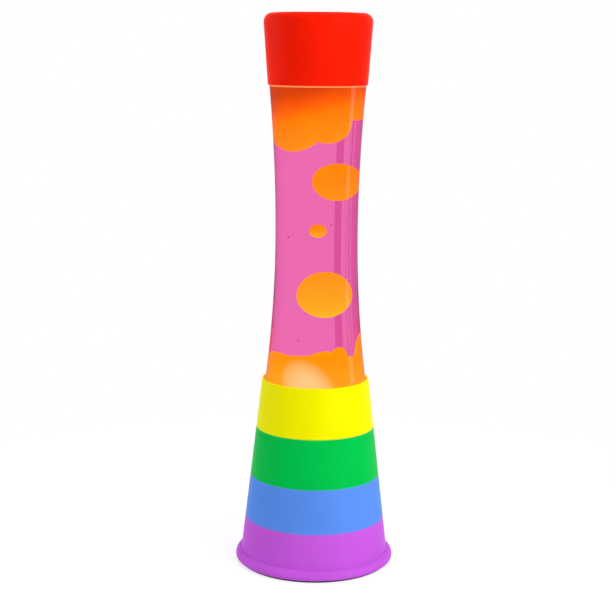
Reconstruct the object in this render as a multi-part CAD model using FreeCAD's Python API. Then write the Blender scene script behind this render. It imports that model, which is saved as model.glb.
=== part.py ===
import FreeCAD, Part
import math
import os

# Liquid motion lamp in millimetres, +Z up, origin under the middle of the foot.
# A spun cone stands on a rubber ring and holds a reflector bulb. A sealed hourglass
# bottle of liquid and wax stands in the cone's mouth, with a loose cap over its neck.

V = FreeCAD.Vector
ORIGIN = V(0, 0, 0)
UP = V(0, 0, 1)
REARWARD = V(0, 1, 0)

# Base shell: a sheet cone, a round bead at the foot, a flange under it, a rim turned in
BASE_HEIGHT = 133.9
SHELL_WALL = 1.0
FOOT_RADIUS = 56.5
BEAD_ROUND = 4.6
BEAD_RISE = 1.9
BEAD_PROUD = 4.05
RIM_RADIUS = 37.8
RIM_ROUND = 1.2
FLANGE_WIDTH = 15.5

# Foot ring and bottom cover
FOOT_RING_HEIGHT = 2.0
FOOT_RING_INSET = 2.4
FOOT_RING_WIDTH = 7.4
COVER_THICKNESS = 1.0
COVER_CLEARANCE = 0.5
VENT_WIDTH = 3.0
VENT_INNER = 24.0
VENT_LENGTH = 10.0
VENT_STEP = 15.0
VENTS_PER_SIDE = 7

# Screws: cover to shell and carrier, cover to lampholder bracket
SCREW_RADIUS = 1.4
SCREW_CLEARANCE = 0.1
SCREW_HEAD_RADIUS = 2.6
SCREW_HEAD_HEIGHT = 0.7
SCREW_END = 1.5
COVER_SCREW_EDGE = 3.0

# Globe carrier: a ring ledge with a collar, on three strip legs
CARRIER_SHEET = 1.2
CARRIER_LEGS = 3
CARRIER_LEG_WIDTH = 14.0
CARRIER_COLLAR_HEIGHT = 8.0
CARRIER_FOOT_MARGIN = 2.9
GLOBE_CLEARANCE = 0.45

# Glass bottle: outer sizes, heights taken from the rim of the base
GLASS_WALL = 2.4
SEAT_DEPTH = 21.9
BOTTLE_RIM_RADIUS = 35.5
WAIST_RADIUS = 28.8
WAIST_RISE = 104.1
SHOULDER_RADIUS = 33.4
SHOULDER_RISE = 101.4
HEEL_ROUND = 9.0
BELLY_ROUND = 20.0
PUNT_RADIUS = 24.0
PUNT_RISE = 12.0
SHOULDER_BLEND = 10.0
SHOULDER_LAND = 2.0
SHOULDER_ROUND = 15.0
SHOULDER_SWEEP = math.radians(70.0)
NECK_RADIUS = 12.3
NECK_FILLET = 6.0
NECK_LENGTH = 21.5
LIP_RADIUS = 13.25
LIP_HEIGHT = 8.0
LIP_ROUND = 0.8

# Crown cap on the bottle: a pressed lid with a fluted skirt, and its liner
CROWN_SHEET = 0.5
CROWN_LINER = 0.8
CROWN_HEIGHT = 6.0
CROWN_SKIRT_RADIUS = 16.05
CROWN_SKIRT_WALL = 1.1
CROWN_CORNER = 1.4
CROWN_GRIP = 0.3
CROWN_FLUTES = 21
FLUTE_ROUND = 1.3
FLUTE_DEPTH = 0.85

# Loose cap: a spun cone, wider at the top, that stands on the crown
CAP_HEIGHT = 48.6
CAP_WALL = 0.7
CAP_TOP_RADIUS = 37.5
CAP_CORNER = 6.0
CAP_CLEARANCE = 0.3

# Filling: liquid, wax and the wire coil on the bottle's floor
FILL_GAP = 0.1
WAX_GAP = 0.3
LIQUID_ABOVE_SHOULDER = 10.0
POOL_TOP_RISE = 14.0
POOL_MOUND_RADIUS = 11.2
POOL_MOUND_PEAK = 9.0
POOL_MOUND_OFFSET = 12.0
POOL_MOUND_ANGLE = -25.0
POOL_SIDE_MOUND_RADIUS = 9.0
POOL_SIDE_MOUND_PEAK = 15.0
POOL_SIDE_MOUND_OFFSET = 19.0
POOL_SIDE_MOUND_ANGLE = 25.0
TOP_WAX_DEPTH = 24.0
LEFT_LOBE_RADIUS = 17.5
LEFT_LOBE_HANG = 21.0
LEFT_LOBE_OFFSET = 9.5
RIGHT_LOBE_RADIUS = 12.5
RIGHT_LOBE_HANG = 15.0
RIGHT_LOBE_OFFSET = 9.0
LOBE_FORWARD = 3.0
LARGE_BLOB_RADIUS = 16.4
LARGE_BLOB_DROP = 44.2
LARGE_BLOB_ANGLE = -45.0
LARGE_BLOB_WALL_GAP = 4.3
UPPER_BLOB_RADIUS = 13.0
UPPER_BLOB_RISE = 34.5
UPPER_BLOB_ANGLE = 16.0
UPPER_BLOB_WALL_GAP = 3.4
DROPLET_RADIUS = 4.7
DROPLET_RISE = 0.5
DROPLET_OFFSET = 0.7
COIL_WIRE_RADIUS = 0.8
COIL_PITCH = 2.8
COIL_TURNS = 3
COIL_POINTS_PER_TURN = 48
COIL_CHANNEL_GAP = 0.5

# Reflector bulb with an E14 screw cap
BULB_LENGTH = 66.0
BULB_RADIUS = 19.5
BULB_FACE_RISE = 8.0
BULB_WIDE_HEIGHT = 7.0
BULB_FLARE_HEIGHT = 22.0
BULB_NECK_RADIUS = 6.4
BULB_GLASS = 0.8
BULB_CAP_RADIUS = 6.95
BULB_CAP_SHEET = 0.35
BULB_CAP_LENGTH = 16.0
BULB_INSULATOR_HEIGHT = 3.0
BULB_INSULATOR_RADIUS = 3.2
BULB_TIP_RADIUS = 2.4
BULB_TIP_HEIGHT = 1.5
STEM_RADIUS = 2.6
STEM_FLARE_RADIUS = 5.2
STEM_HEIGHT = 20.0
LEAD_RADIUS = 0.4
FILAMENT_RISE = 10.0

# Lampholder, its nut and the bracket that lifts it off the cover
HOLDER_RADIUS = 13.2
HOLDER_COLLAR_RADIUS = 12.0
HOLDER_STEP = 20.0
HOLDER_HEIGHT = 41.0
HOLDER_FLOOR = 13.0
HOLDER_LEDGE = 22.0
HOLDER_WELL_RADIUS = 6.2
HOLDER_ROUND = 2.5
NIPPLE_RADIUS = 5.0
NIPPLE_BORE = 3.4
NIPPLE_LENGTH = 6.5
NUT_ACROSS_FLATS = 14.0
NUT_HEIGHT = 3.5
SOCKET_CLEARANCE = 0.3
SOCKET_SHEET = 0.4
SOCKET_LEDGE_WIDTH = 0.9
SOCKET_LENGTH = 17.0
CONTACT_SHEET = 0.5
CONTACT_WIDTH = 4.0
CONTACT_LENGTH = 9.0
CONTACT_GAP = 0.3
BRACKET_SHEET = 1.2
BRACKET_HEIGHT = 14.1
BRACKET_WIDTH = 16.0
BRACKET_SPAN = 40.0
BRACKET_FOOT_LENGTH = 11.0

# Cord bushing in the rear wall
BUSHING_HEIGHT = 18.0
BUSHING_BORE = 3.2
BUSHING_NECK = 4.6
BUSHING_FLANGE = 6.4
BUSHING_FLANGE_DEPTH = 2.2
BUSHING_CLEARANCE = 0.1

# Heights and centres worked out from the sizes above
SHELL_BOTTOM_Z = FOOT_RING_HEIGHT
BEAD_CENTRE_Z = SHELL_BOTTOM_Z + BEAD_RISE
BEAD_CENTRE_R = FOOT_RADIUS - BEAD_ROUND
CREASE_R = FOOT_RADIUS - BEAD_PROUD
CREASE_ANGLE = math.acos((CREASE_R - BEAD_CENTRE_R) / BEAD_ROUND)
CREASE_Z = BEAD_CENTRE_Z + BEAD_ROUND * math.sin(CREASE_ANGLE)
RIM_Z = BASE_HEIGHT
CONE_LEAN = math.atan2(CREASE_R - RIM_RADIUS, RIM_Z - CREASE_Z)

SEAT_Z = RIM_Z - SEAT_DEPTH
WAIST_Z = RIM_Z + WAIST_RISE
SHOULDER_Z = WAIST_Z + SHOULDER_RISE


def arc_through(rise, offset):
    """Radius of an arc, upright at one end, that moves sideways by offset over rise."""
    return (rise**2 + offset**2) / (2 * offset)


LOWER_ARC = arc_through(WAIST_RISE, BOTTLE_RIM_RADIUS - WAIST_RADIUS)
UPPER_ARC = arc_through(SHOULDER_RISE, SHOULDER_RADIUS - WAIST_RADIUS)
PUNT_SPHERE = arc_through(PUNT_RADIUS, PUNT_RISE)
LOWER_LEAN = math.asin(WAIST_RISE / LOWER_ARC)
UPPER_LEAN = math.asin(SHOULDER_RISE / UPPER_ARC)
PUNT_CENTRE_Z = SEAT_Z + PUNT_RISE - PUNT_SPHERE
BELLY_CENTRE_R = BOTTLE_RIM_RADIUS - BELLY_ROUND * math.cos(LOWER_LEAN)
BELLY_CENTRE_Z = RIM_Z - BELLY_ROUND * math.sin(LOWER_LEAN)
BELLY_RADIUS = BELLY_CENTRE_R + BELLY_ROUND
HEEL_CENTRE_R = BELLY_RADIUS - HEEL_ROUND
HEEL_CENTRE_Z = SEAT_Z + HEEL_ROUND
BLEND_CENTRE_R = SHOULDER_RADIUS - SHOULDER_BLEND * math.cos(UPPER_LEAN)
BLEND_CENTRE_Z = SHOULDER_Z + SHOULDER_BLEND * math.sin(UPPER_LEAN)
SHOULDER_MAX = BLEND_CENTRE_R + SHOULDER_BLEND
ROUND_CENTRE_R = SHOULDER_MAX - SHOULDER_ROUND
ROUND_CENTRE_Z = BLEND_CENTRE_Z + SHOULDER_LAND
FILLET_CENTRE_R = NECK_RADIUS + NECK_FILLET
FILLET_RUN = (ROUND_CENTRE_R - FILLET_CENTRE_R) / math.sin(SHOULDER_SWEEP) + (
    SHOULDER_ROUND + NECK_FILLET) / math.tan(SHOULDER_SWEEP)
FILLET_CENTRE_Z = ROUND_CENTRE_Z + FILLET_RUN * math.cos(SHOULDER_SWEEP) + (
    SHOULDER_ROUND + NECK_FILLET) * math.sin(SHOULDER_SWEEP)
NECK_TOP_Z = FILLET_CENTRE_Z + NECK_LENGTH
CROWN_TOP_Z = NECK_TOP_Z + CROWN_LINER + CROWN_SHEET
CAP_TOP_Z = CROWN_TOP_Z + CAP_WALL
CAP_MOUTH_Z = CAP_TOP_Z - CAP_HEIGHT
CAP_MOUTH_RADIUS = SHOULDER_MAX + CAP_CLEARANCE + CAP_WALL

RIM_INNER_R = BELLY_RADIUS + GLOBE_CLEARANCE
FLANGE_INNER_R = FOOT_RADIUS - FLANGE_WIDTH
FLANGE_TOP_Z = SHELL_BOTTOM_Z + SHELL_WALL
FOOT_RING_OUTER = FOOT_RADIUS - FOOT_RING_INSET
FOOT_RING_INNER = FOOT_RING_OUTER - FOOT_RING_WIDTH
COVER_RADIUS = FOOT_RING_INNER - COVER_CLEARANCE
COVER_BOTTOM_Z = SHELL_BOTTOM_Z - COVER_THICKNESS
COVER_SCREW_R = COVER_RADIUS - COVER_SCREW_EDGE
COLLAR_INNER_R = BELLY_RADIUS + GLOBE_CLEARANCE
COLLAR_OUTER_R = COLLAR_INNER_R + CARRIER_SHEET
LEDGE_INNER_R = PUNT_RADIUS - (PUNT_RADIUS - BULB_RADIUS) / 2

HOLDER_Z = SHELL_BOTTOM_Z + BRACKET_HEIGHT
BULB_CAP_Z = HOLDER_Z + HOLDER_LEDGE + SOCKET_SHEET
BULB_CAP_TOP_Z = BULB_CAP_Z + BULB_CAP_LENGTH
INSULATOR_Z = BULB_CAP_Z - BULB_INSULATOR_HEIGHT
BULB_TIP_Z = INSULATOR_Z - BULB_TIP_HEIGHT
BULB_FACE_Z = BULB_TIP_Z + BULB_LENGTH
BRACKET_LEG_X = BRACKET_SPAN / 2
BRACKET_FOOT_X = BRACKET_LEG_X + BRACKET_FOOT_LENGTH
BRACKET_SCREW_X = BRACKET_LEG_X + BRACKET_FOOT_LENGTH / 2

POOL_TOP_Z = RIM_Z + POOL_TOP_RISE
TOP_WAX_Z = SHOULDER_Z - TOP_WAX_DEPTH
LIQUID_TOP_Z = SHOULDER_Z + LIQUID_ABOVE_SHOULDER
COIL_RADIUS = HEEL_CENTRE_R
COIL_Z = SEAT_Z + GLASS_WALL + FILL_GAP + COIL_CHANNEL_GAP + COIL_WIRE_RADIUS


class Outline:
    """A closed outline in radius and height, drawn edge by edge, then turned or pulled."""

    def __init__(self, r, z):
        self.start = V(r, 0, z)
        self.end = self.start
        self.edges = []

    def line(self, r, z):
        point = V(r, 0, z)
        if point.distanceToPoint(self.end) > 1e-6:
            self.edges.append(Part.makeLine(self.end, point))
            self.end = point
        return self

    def arc(self, centre_r, centre_z, radius, first, last):
        """Arc between two angles from the outward direction, after a straight run to it."""
        points = []
        for angle in (first, (first + last) / 2, last):
            points.append(V(centre_r + radius * math.cos(angle), 0, centre_z + radius * math.sin(angle)))
        self.line(points[0].x, points[0].z)
        self.edges.append(Part.Arc(self.end, points[1], points[2]).toShape())
        self.end = points[2]
        return self

    def face(self):
        self.line(self.start.x, self.start.z)
        return Part.Face(Part.Wire(self.edges))

    def turned(self):
        return self.face().revolve(ORIGIN, UP, 360)

    def pulled(self, width):
        """The outline as a strip of this width, centred on the XZ plane."""
        strip = self.face().extrude(REARWARD * width)
        return strip.translated(REARWARD * (-width / 2))


def ring(inner, outer, low, high):
    return Outline(inner, low).line(outer, low).line(outer, high).line(inner, high).turned()


def disc(radius, low, high):
    return ring(0, radius, low, high)


def about_axis(shape, angle):
    return shape.rotated(ORIGIN, UP, angle)


def polar(radius, angle, z):
    turn = math.radians(angle)
    return V(radius * math.cos(turn), radius * math.sin(turn), z)


def cone_radius(z):
    return RIM_RADIUS + (RIM_Z - z) * math.tan(CONE_LEAN)


def base_shell():
    outer = Outline(0, SHELL_BOTTOM_Z)
    outer.arc(BEAD_CENTRE_R, BEAD_CENTRE_Z, BEAD_ROUND, math.asin(-BEAD_RISE / BEAD_ROUND), CREASE_ANGLE)
    round_tangent = RIM_ROUND * math.tan(math.pi / 4 - CONE_LEAN / 2)
    outer.arc(RIM_RADIUS - round_tangent, RIM_Z - RIM_ROUND, RIM_ROUND, CONE_LEAN, math.pi / 2)
    body = outer.line(0, RIM_Z).turned()

    bead_inside = BEAD_ROUND - SHELL_WALL
    wall_r = SHELL_WALL / math.cos(CONE_LEAN)
    cavity = Outline(0, FLANGE_TOP_Z)
    cavity.arc(BEAD_CENTRE_R, BEAD_CENTRE_Z, bead_inside,
               math.asin((FLANGE_TOP_Z - BEAD_CENTRE_Z) / bead_inside), bead_top_angle(bead_inside, wall_r))
    cavity.line(cone_radius(RIM_Z - SHELL_WALL) - wall_r, RIM_Z - SHELL_WALL)
    body = body.cut(cavity.line(0, RIM_Z - SHELL_WALL).turned())
    body = body.cut(disc(RIM_INNER_R, RIM_Z - 2 * SHELL_WALL, RIM_Z + SHELL_WALL))
    body = body.cut(disc(FLANGE_INNER_R, 0, FLANGE_TOP_Z + SHELL_WALL))
    for angle in carrier_angles():
        body = body.cut(screw_hole(polar(COVER_SCREW_R, angle, 0), FLANGE_TOP_Z))
    return body.cut(bushing_cylinder(BUSHING_NECK + BUSHING_CLEARANCE))


def bead_top_angle(radius, wall_r):
    """Angle on the bead's inner arc where it meets the cone's inner face."""
    inner_line_r = cone_radius(BEAD_CENTRE_Z) - wall_r - BEAD_CENTRE_R
    return math.acos(inner_line_r * math.cos(CONE_LEAN) / radius) + CONE_LEAN


def carrier_angles():
    """The legs stand clear of the rear bushing and of the bracket's feet."""
    return [30 + 360 / CARRIER_LEGS * i for i in range(CARRIER_LEGS)]


def screw_hole(foot, top):
    return Part.makeCylinder(SCREW_RADIUS + SCREW_CLEARANCE, top + SCREW_END, foot)


def screw(foot, top):
    """A screw through the cover with its head under it, at the plan position foot."""
    head_low = COVER_BOTTOM_Z - SCREW_HEAD_HEIGHT
    head = Part.makeCylinder(SCREW_HEAD_RADIUS, SCREW_HEAD_HEIGHT, foot + UP * head_low)
    shank = Part.makeCylinder(SCREW_RADIUS, top + SCREW_END - COVER_BOTTOM_Z, foot + UP * COVER_BOTTOM_Z)
    return head.fuse(shank).removeSplitter()


def cover_screws():
    top = FLANGE_TOP_Z + CARRIER_SHEET
    return [screw(polar(COVER_SCREW_R, angle, 0), top) for angle in carrier_angles()]


def bracket_screws():
    top = SHELL_BOTTOM_Z + BRACKET_SHEET
    return [screw(V(x, 0, 0), top) for x in (-BRACKET_SCREW_X, BRACKET_SCREW_X)]


def foot_ring():
    return ring(FOOT_RING_INNER, FOOT_RING_OUTER, 0, FOOT_RING_HEIGHT)


def bottom_cover():
    body = disc(COVER_RADIUS, COVER_BOTTOM_Z, SHELL_BOTTOM_Z)
    slot = Part.makeBox(VENT_LENGTH, VENT_WIDTH, 3 * COVER_THICKNESS,
                        V(VENT_INNER, -VENT_WIDTH / 2, COVER_BOTTOM_Z - COVER_THICKNESS))
    first = 90 - VENT_STEP * (VENTS_PER_SIDE - 1) / 2
    for side in (0, 180):
        for i in range(VENTS_PER_SIDE):
            body = body.cut(about_axis(slot, side + first + VENT_STEP * i))
    for angle in carrier_angles():
        body = body.cut(screw_hole(polar(COVER_SCREW_R, angle, 0), SHELL_BOTTOM_Z))
    for x in (-BRACKET_SCREW_X, BRACKET_SCREW_X):
        body = body.cut(screw_hole(V(x, 0, 0), SHELL_BOTTOM_Z))
    return body


def globe_carrier():
    ledge = ring(LEDGE_INNER_R, COLLAR_OUTER_R, SEAT_Z - CARRIER_SHEET, SEAT_Z)
    body = ledge.fuse(ring(COLLAR_INNER_R, COLLAR_OUTER_R, SEAT_Z, SEAT_Z + CARRIER_COLLAR_HEIGHT))
    tube = ring(COLLAR_INNER_R, COLLAR_OUTER_R, FLANGE_TOP_Z, SEAT_Z)
    half = CARRIER_LEG_WIDTH / 2
    foot_length = COVER_SCREW_R + CARRIER_FOOT_MARGIN - COLLAR_INNER_R
    for angle in carrier_angles():
        sector = Part.makeBox(COLLAR_OUTER_R, CARRIER_LEG_WIDTH, SEAT_Z, V(0, -half, 0))
        foot = Part.makeBox(foot_length, CARRIER_LEG_WIDTH, CARRIER_SHEET,
                            V(COLLAR_INNER_R, -half, FLANGE_TOP_Z))
        leg = tube.common(about_axis(sector, angle))
        body = body.fuse(leg).fuse(about_axis(foot, angle))
        body = body.cut(screw_hole(polar(COVER_SCREW_R, angle, 0), FLANGE_TOP_Z + CARRIER_SHEET))
    return body.removeSplitter()


def lampholder_bracket():
    low = SHELL_BOTTOM_Z
    bar = HOLDER_Z
    hat = Outline(-BRACKET_FOOT_X, low)
    for x, z in ((-BRACKET_LEG_X + BRACKET_SHEET, low), (-BRACKET_LEG_X + BRACKET_SHEET, bar - BRACKET_SHEET),
                 (BRACKET_LEG_X - BRACKET_SHEET, bar - BRACKET_SHEET), (BRACKET_LEG_X - BRACKET_SHEET, low),
                 (BRACKET_FOOT_X, low), (BRACKET_FOOT_X, low + BRACKET_SHEET),
                 (BRACKET_LEG_X, low + BRACKET_SHEET), (BRACKET_LEG_X, bar), (-BRACKET_LEG_X, bar),
                 (-BRACKET_LEG_X, low + BRACKET_SHEET), (-BRACKET_FOOT_X, low + BRACKET_SHEET)):
        hat.line(x, z)
    body = hat.pulled(BRACKET_WIDTH)
    body = body.cut(disc(NIPPLE_RADIUS + SCREW_CLEARANCE, bar - 2 * BRACKET_SHEET, bar + BRACKET_SHEET))
    for x in (-BRACKET_SCREW_X, BRACKET_SCREW_X):
        body = body.cut(screw_hole(V(x, 0, 0), low + BRACKET_SHEET))
    return body


def lampholder_body():
    well_r = BULB_CAP_RADIUS + SOCKET_CLEARANCE + SOCKET_SHEET + SOCKET_CLEARANCE
    outline = Outline(NIPPLE_BORE, HOLDER_Z - NIPPLE_LENGTH).line(NIPPLE_RADIUS, HOLDER_Z - NIPPLE_LENGTH)
    outline.line(NIPPLE_RADIUS, HOLDER_Z)
    outline.arc(HOLDER_RADIUS - HOLDER_ROUND, HOLDER_Z + HOLDER_ROUND, HOLDER_ROUND, -math.pi / 2, 0)
    outline.line(HOLDER_RADIUS, HOLDER_Z + HOLDER_STEP).line(HOLDER_COLLAR_RADIUS, HOLDER_Z + HOLDER_STEP)
    outline.line(HOLDER_COLLAR_RADIUS, HOLDER_Z + HOLDER_HEIGHT).line(well_r, HOLDER_Z + HOLDER_HEIGHT)
    outline.line(well_r, HOLDER_Z + HOLDER_LEDGE).line(HOLDER_WELL_RADIUS, HOLDER_Z + HOLDER_LEDGE)
    outline.line(HOLDER_WELL_RADIUS, HOLDER_Z + HOLDER_FLOOR).line(NIPPLE_BORE, HOLDER_Z + HOLDER_FLOOR)
    return outline.turned()


def lampholder_nut():
    top = HOLDER_Z - BRACKET_SHEET
    corner = NUT_ACROSS_FLATS / math.sqrt(3)
    corners = [polar(corner, 60 * i, top - NUT_HEIGHT) for i in range(7)]
    hexagon = Part.Face(Part.makePolygon(corners)).extrude(UP * NUT_HEIGHT)
    return hexagon.cut(disc(NIPPLE_RADIUS + SCREW_CLEARANCE, top - 2 * NUT_HEIGHT, top + NUT_HEIGHT))


def lampholder_screw_shell():
    low = HOLDER_Z + HOLDER_LEDGE
    inner = BULB_CAP_RADIUS + SOCKET_CLEARANCE
    outer = inner + SOCKET_SHEET
    lip = inner - SOCKET_LEDGE_WIDTH
    return Outline(lip, low).line(outer, low).line(outer, low + SOCKET_LENGTH).line(
        inner, low + SOCKET_LENGTH).line(inner, low + SOCKET_SHEET).line(lip, low + SOCKET_SHEET).turned()


def lampholder_contact():
    """A leaf folded back over itself, its upper half just under the bulb's tip."""
    low = HOLDER_Z + HOLDER_FLOOR
    high = BULB_TIP_Z - CONTACT_GAP
    bend = (high - low) / 2
    turn_x = CONTACT_LENGTH / 2 - bend
    leaf = Outline(-CONTACT_LENGTH / 2, low)
    leaf.arc(turn_x, low + bend, bend, -math.pi / 2, math.pi / 2)
    leaf.line(-BULB_TIP_RADIUS, high).line(-BULB_TIP_RADIUS, high - CONTACT_SHEET)
    leaf.arc(turn_x, low + bend, bend - CONTACT_SHEET, math.pi / 2, -math.pi / 2)
    return leaf.line(-CONTACT_LENGTH / 2, low + CONTACT_SHEET).pulled(CONTACT_WIDTH)


def bushing_cylinder(radius, outset=BUSHING_FLANGE):
    """A cylinder through the rear wall, from well inside it to outset beyond it."""
    wall_y = cone_radius(BUSHING_HEIGHT)
    return Part.makeCylinder(radius, 2 * outset, V(0, wall_y - outset, BUSHING_HEIGHT), REARWARD)


def cord_bushing(shell):
    wall_y = cone_radius(BUSHING_HEIGHT)
    slope = BUSHING_FLANGE * math.tan(CONE_LEAN)
    low_y = wall_y - SHELL_WALL - slope - BUSHING_FLANGE_DEPTH
    high_y = wall_y + slope + BUSHING_FLANGE_DEPTH
    body = Part.makeCylinder(BUSHING_FLANGE, high_y - low_y, V(0, low_y, BUSHING_HEIGHT), REARWARD)
    body = body.cut(bushing_cylinder(BUSHING_BORE, 2 * BUSHING_FLANGE)).cut(shell)
    wall_gap = bushing_cylinder(BUSHING_FLANGE + BUSHING_CLEARANCE)
    wall_gap = wall_gap.cut(bushing_cylinder(BUSHING_NECK)).common(shell_wall_space())
    return max(body.cut(wall_gap).Solids, key=lambda solid: solid.Volume)


def shell_wall_space():
    """The cone's wall as a plain solid ring, with no hole in it."""
    wall_r = SHELL_WALL / math.cos(CONE_LEAN)
    return Outline(CREASE_R - wall_r, CREASE_Z).line(CREASE_R, CREASE_Z).line(
        RIM_RADIUS, RIM_Z).line(RIM_RADIUS - wall_r, RIM_Z).turned()


def bottle_inside(inset, top):
    """The bottle's section with its surface moved in by inset, turned solid up to top."""
    floor_z = SEAT_Z + inset
    punt = PUNT_SPHERE + inset
    shape = Outline(0, PUNT_CENTRE_Z + punt)
    shape.arc(0, PUNT_CENTRE_Z, punt, math.pi / 2, math.asin((floor_z - PUNT_CENTRE_Z) / punt))
    shape.arc(HEEL_CENTRE_R, HEEL_CENTRE_Z, HEEL_ROUND - inset, -math.pi / 2, 0)
    shape.arc(BELLY_CENTRE_R, BELLY_CENTRE_Z, BELLY_ROUND - inset, 0, LOWER_LEAN)
    shape.arc(WAIST_RADIUS + LOWER_ARC, WAIST_Z, LOWER_ARC + inset, math.pi + LOWER_LEAN, math.pi)
    shape.arc(WAIST_RADIUS + UPPER_ARC, WAIST_Z, UPPER_ARC + inset, math.pi, math.pi - UPPER_LEAN)
    shape.arc(BLEND_CENTRE_R, BLEND_CENTRE_Z, SHOULDER_BLEND - inset, -UPPER_LEAN, 0)
    shape.arc(ROUND_CENTRE_R, ROUND_CENTRE_Z, SHOULDER_ROUND - inset, 0, SHOULDER_SWEEP)
    shape.arc(FILLET_CENTRE_R, FILLET_CENTRE_Z, NECK_FILLET + inset, math.pi + SHOULDER_SWEEP, math.pi)
    return shape.line(NECK_RADIUS - inset, top).line(0, top).turned()


def inner_radius(z):
    """Inner radius of the bottle at a height on its hourglass stretch."""
    arc = LOWER_ARC if z < WAIST_Z else UPPER_ARC
    return WAIST_RADIUS + arc - math.sqrt(arc**2 - (z - WAIST_Z)**2) - GLASS_WALL


def glass_bottle():
    lip_low = NECK_TOP_Z - LIP_HEIGHT
    step = LIP_RADIUS - NECK_RADIUS
    lip = Outline(NECK_RADIUS - GLASS_WALL / 2, lip_low - step).line(NECK_RADIUS, lip_low - step)
    lip.line(LIP_RADIUS, lip_low)
    lip.arc(LIP_RADIUS - LIP_ROUND, NECK_TOP_Z - LIP_ROUND, LIP_ROUND, 0, math.pi / 2)
    lip = lip.line(NECK_RADIUS - GLASS_WALL / 2, NECK_TOP_Z).turned()
    body = bottle_inside(0, NECK_TOP_Z).fuse(lip)
    return body.cut(bottle_inside(GLASS_WALL, NECK_TOP_Z + GLASS_WALL)).removeSplitter()


def crown_cap():
    grip_r = LIP_RADIUS + CROWN_GRIP
    low = CROWN_TOP_Z - CROWN_HEIGHT
    under = CROWN_TOP_Z - CROWN_SHEET
    skirt_top_r = grip_r + CROWN_SKIRT_WALL
    outline = Outline(0, CROWN_TOP_Z)
    outline.arc(skirt_top_r - CROWN_CORNER, CROWN_TOP_Z - CROWN_CORNER, CROWN_CORNER, math.pi / 2, 0)
    outline.line(CROWN_SKIRT_RADIUS, low).line(CROWN_SKIRT_RADIUS - CROWN_SKIRT_WALL, low)
    body = outline.line(grip_r, under).line(0, under).turned()
    flute_r = CROWN_SKIRT_RADIUS + FLUTE_ROUND - FLUTE_DEPTH
    for i in range(CROWN_FLUTES):
        foot = polar(flute_r, 360 / CROWN_FLUTES * i, low - CROWN_SHEET)
        body = body.cut(Part.makeCylinder(FLUTE_ROUND, CROWN_HEIGHT, foot))
    return body


def crown_liner():
    return disc(LIP_RADIUS, NECK_TOP_Z, NECK_TOP_Z + CROWN_LINER)


def cap_shell():
    body = cap_solid(0)
    return body.cut(cap_solid(CAP_WALL)).removeSplitter()


def cap_solid(inset):
    """The cap's cone with its surface moved in by inset, open at the mouth when inset."""
    mouth_z = CAP_MOUTH_Z - inset
    rise = CAP_TOP_Z - CAP_CORNER - CAP_MOUTH_Z
    lean = math.atan2(CAP_TOP_RADIUS - CAP_MOUTH_RADIUS, rise)
    mouth_r = CAP_MOUTH_RADIUS - inset / math.cos(lean) - inset * math.tan(lean)
    shape = Outline(0, mouth_z).line(mouth_r, mouth_z)
    shape.arc(CAP_TOP_RADIUS - CAP_CORNER, CAP_TOP_Z - CAP_CORNER, CAP_CORNER - inset, -lean, math.pi / 2)
    return shape.line(0, CAP_TOP_Z - inset).turned()


def filling():
    return bottle_inside(GLASS_WALL + FILL_GAP, NECK_TOP_Z).common(disc(FOOT_RADIUS, 0, LIQUID_TOP_Z))


def pool_shape(grow):
    """The wax on the floor: a level top with two mounds standing out of it."""
    body = disc(FOOT_RADIUS, 0, POOL_TOP_Z + grow)
    for radius, peak, offset, angle in (
            (POOL_MOUND_RADIUS, POOL_MOUND_PEAK, POOL_MOUND_OFFSET, POOL_MOUND_ANGLE),
            (POOL_SIDE_MOUND_RADIUS, POOL_SIDE_MOUND_PEAK, POOL_SIDE_MOUND_OFFSET, POOL_SIDE_MOUND_ANGLE)):
        centre = polar(offset, angle, POOL_TOP_Z + peak - radius)
        body = body.fuse(Part.makeSphere(radius + grow, centre))
    return body


def top_wax_shape(grow):
    """The wax under the shoulder: a level slab with two lobes hanging from it."""
    body = disc(FOOT_RADIUS, TOP_WAX_Z - grow, NECK_TOP_Z)
    for radius, hang, x in ((LEFT_LOBE_RADIUS, LEFT_LOBE_HANG, -LEFT_LOBE_OFFSET),
                            (RIGHT_LOBE_RADIUS, RIGHT_LOBE_HANG, RIGHT_LOBE_OFFSET)):
        centre = V(x, -LOBE_FORWARD, TOP_WAX_Z - hang + radius)
        body = body.fuse(Part.makeSphere(radius + grow, centre))
    return body


def wall_blob(radius, z, angle, wall_gap, grow):
    """A blob that floats at this gap from the bottle's wall."""
    return Part.makeSphere(radius + grow, polar(inner_radius(z) - radius - wall_gap, angle, z))


def large_blob(grow=0):
    z = WAIST_Z - LARGE_BLOB_DROP
    return wall_blob(LARGE_BLOB_RADIUS, z, LARGE_BLOB_ANGLE, LARGE_BLOB_WALL_GAP, grow)


def upper_blob(grow=0):
    z = WAIST_Z + UPPER_BLOB_RISE
    return wall_blob(UPPER_BLOB_RADIUS, z, UPPER_BLOB_ANGLE, UPPER_BLOB_WALL_GAP, grow)


def droplet(grow=0):
    return Part.makeSphere(DROPLET_RADIUS + grow, V(DROPLET_OFFSET, 0, WAIST_Z + DROPLET_RISE))


def wax_pool():
    """The pool, with a groove in its underside that leaves the coil free."""
    reach = COIL_WIRE_RADIUS + COIL_CHANNEL_GAP
    groove = ring(COIL_RADIUS - reach, COIL_RADIUS + reach, SEAT_Z, COIL_Z + COIL_PITCH * COIL_TURNS + reach)
    return filling().common(pool_shape(0)).cut(groove)


def wax_top():
    return filling().common(top_wax_shape(0))


def liquid():
    body = filling().cut(pool_shape(WAX_GAP)).cut(top_wax_shape(WAX_GAP))
    for blob in (large_blob, upper_blob, droplet):
        body = body.cut(blob(WAX_GAP))
    return body


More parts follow.
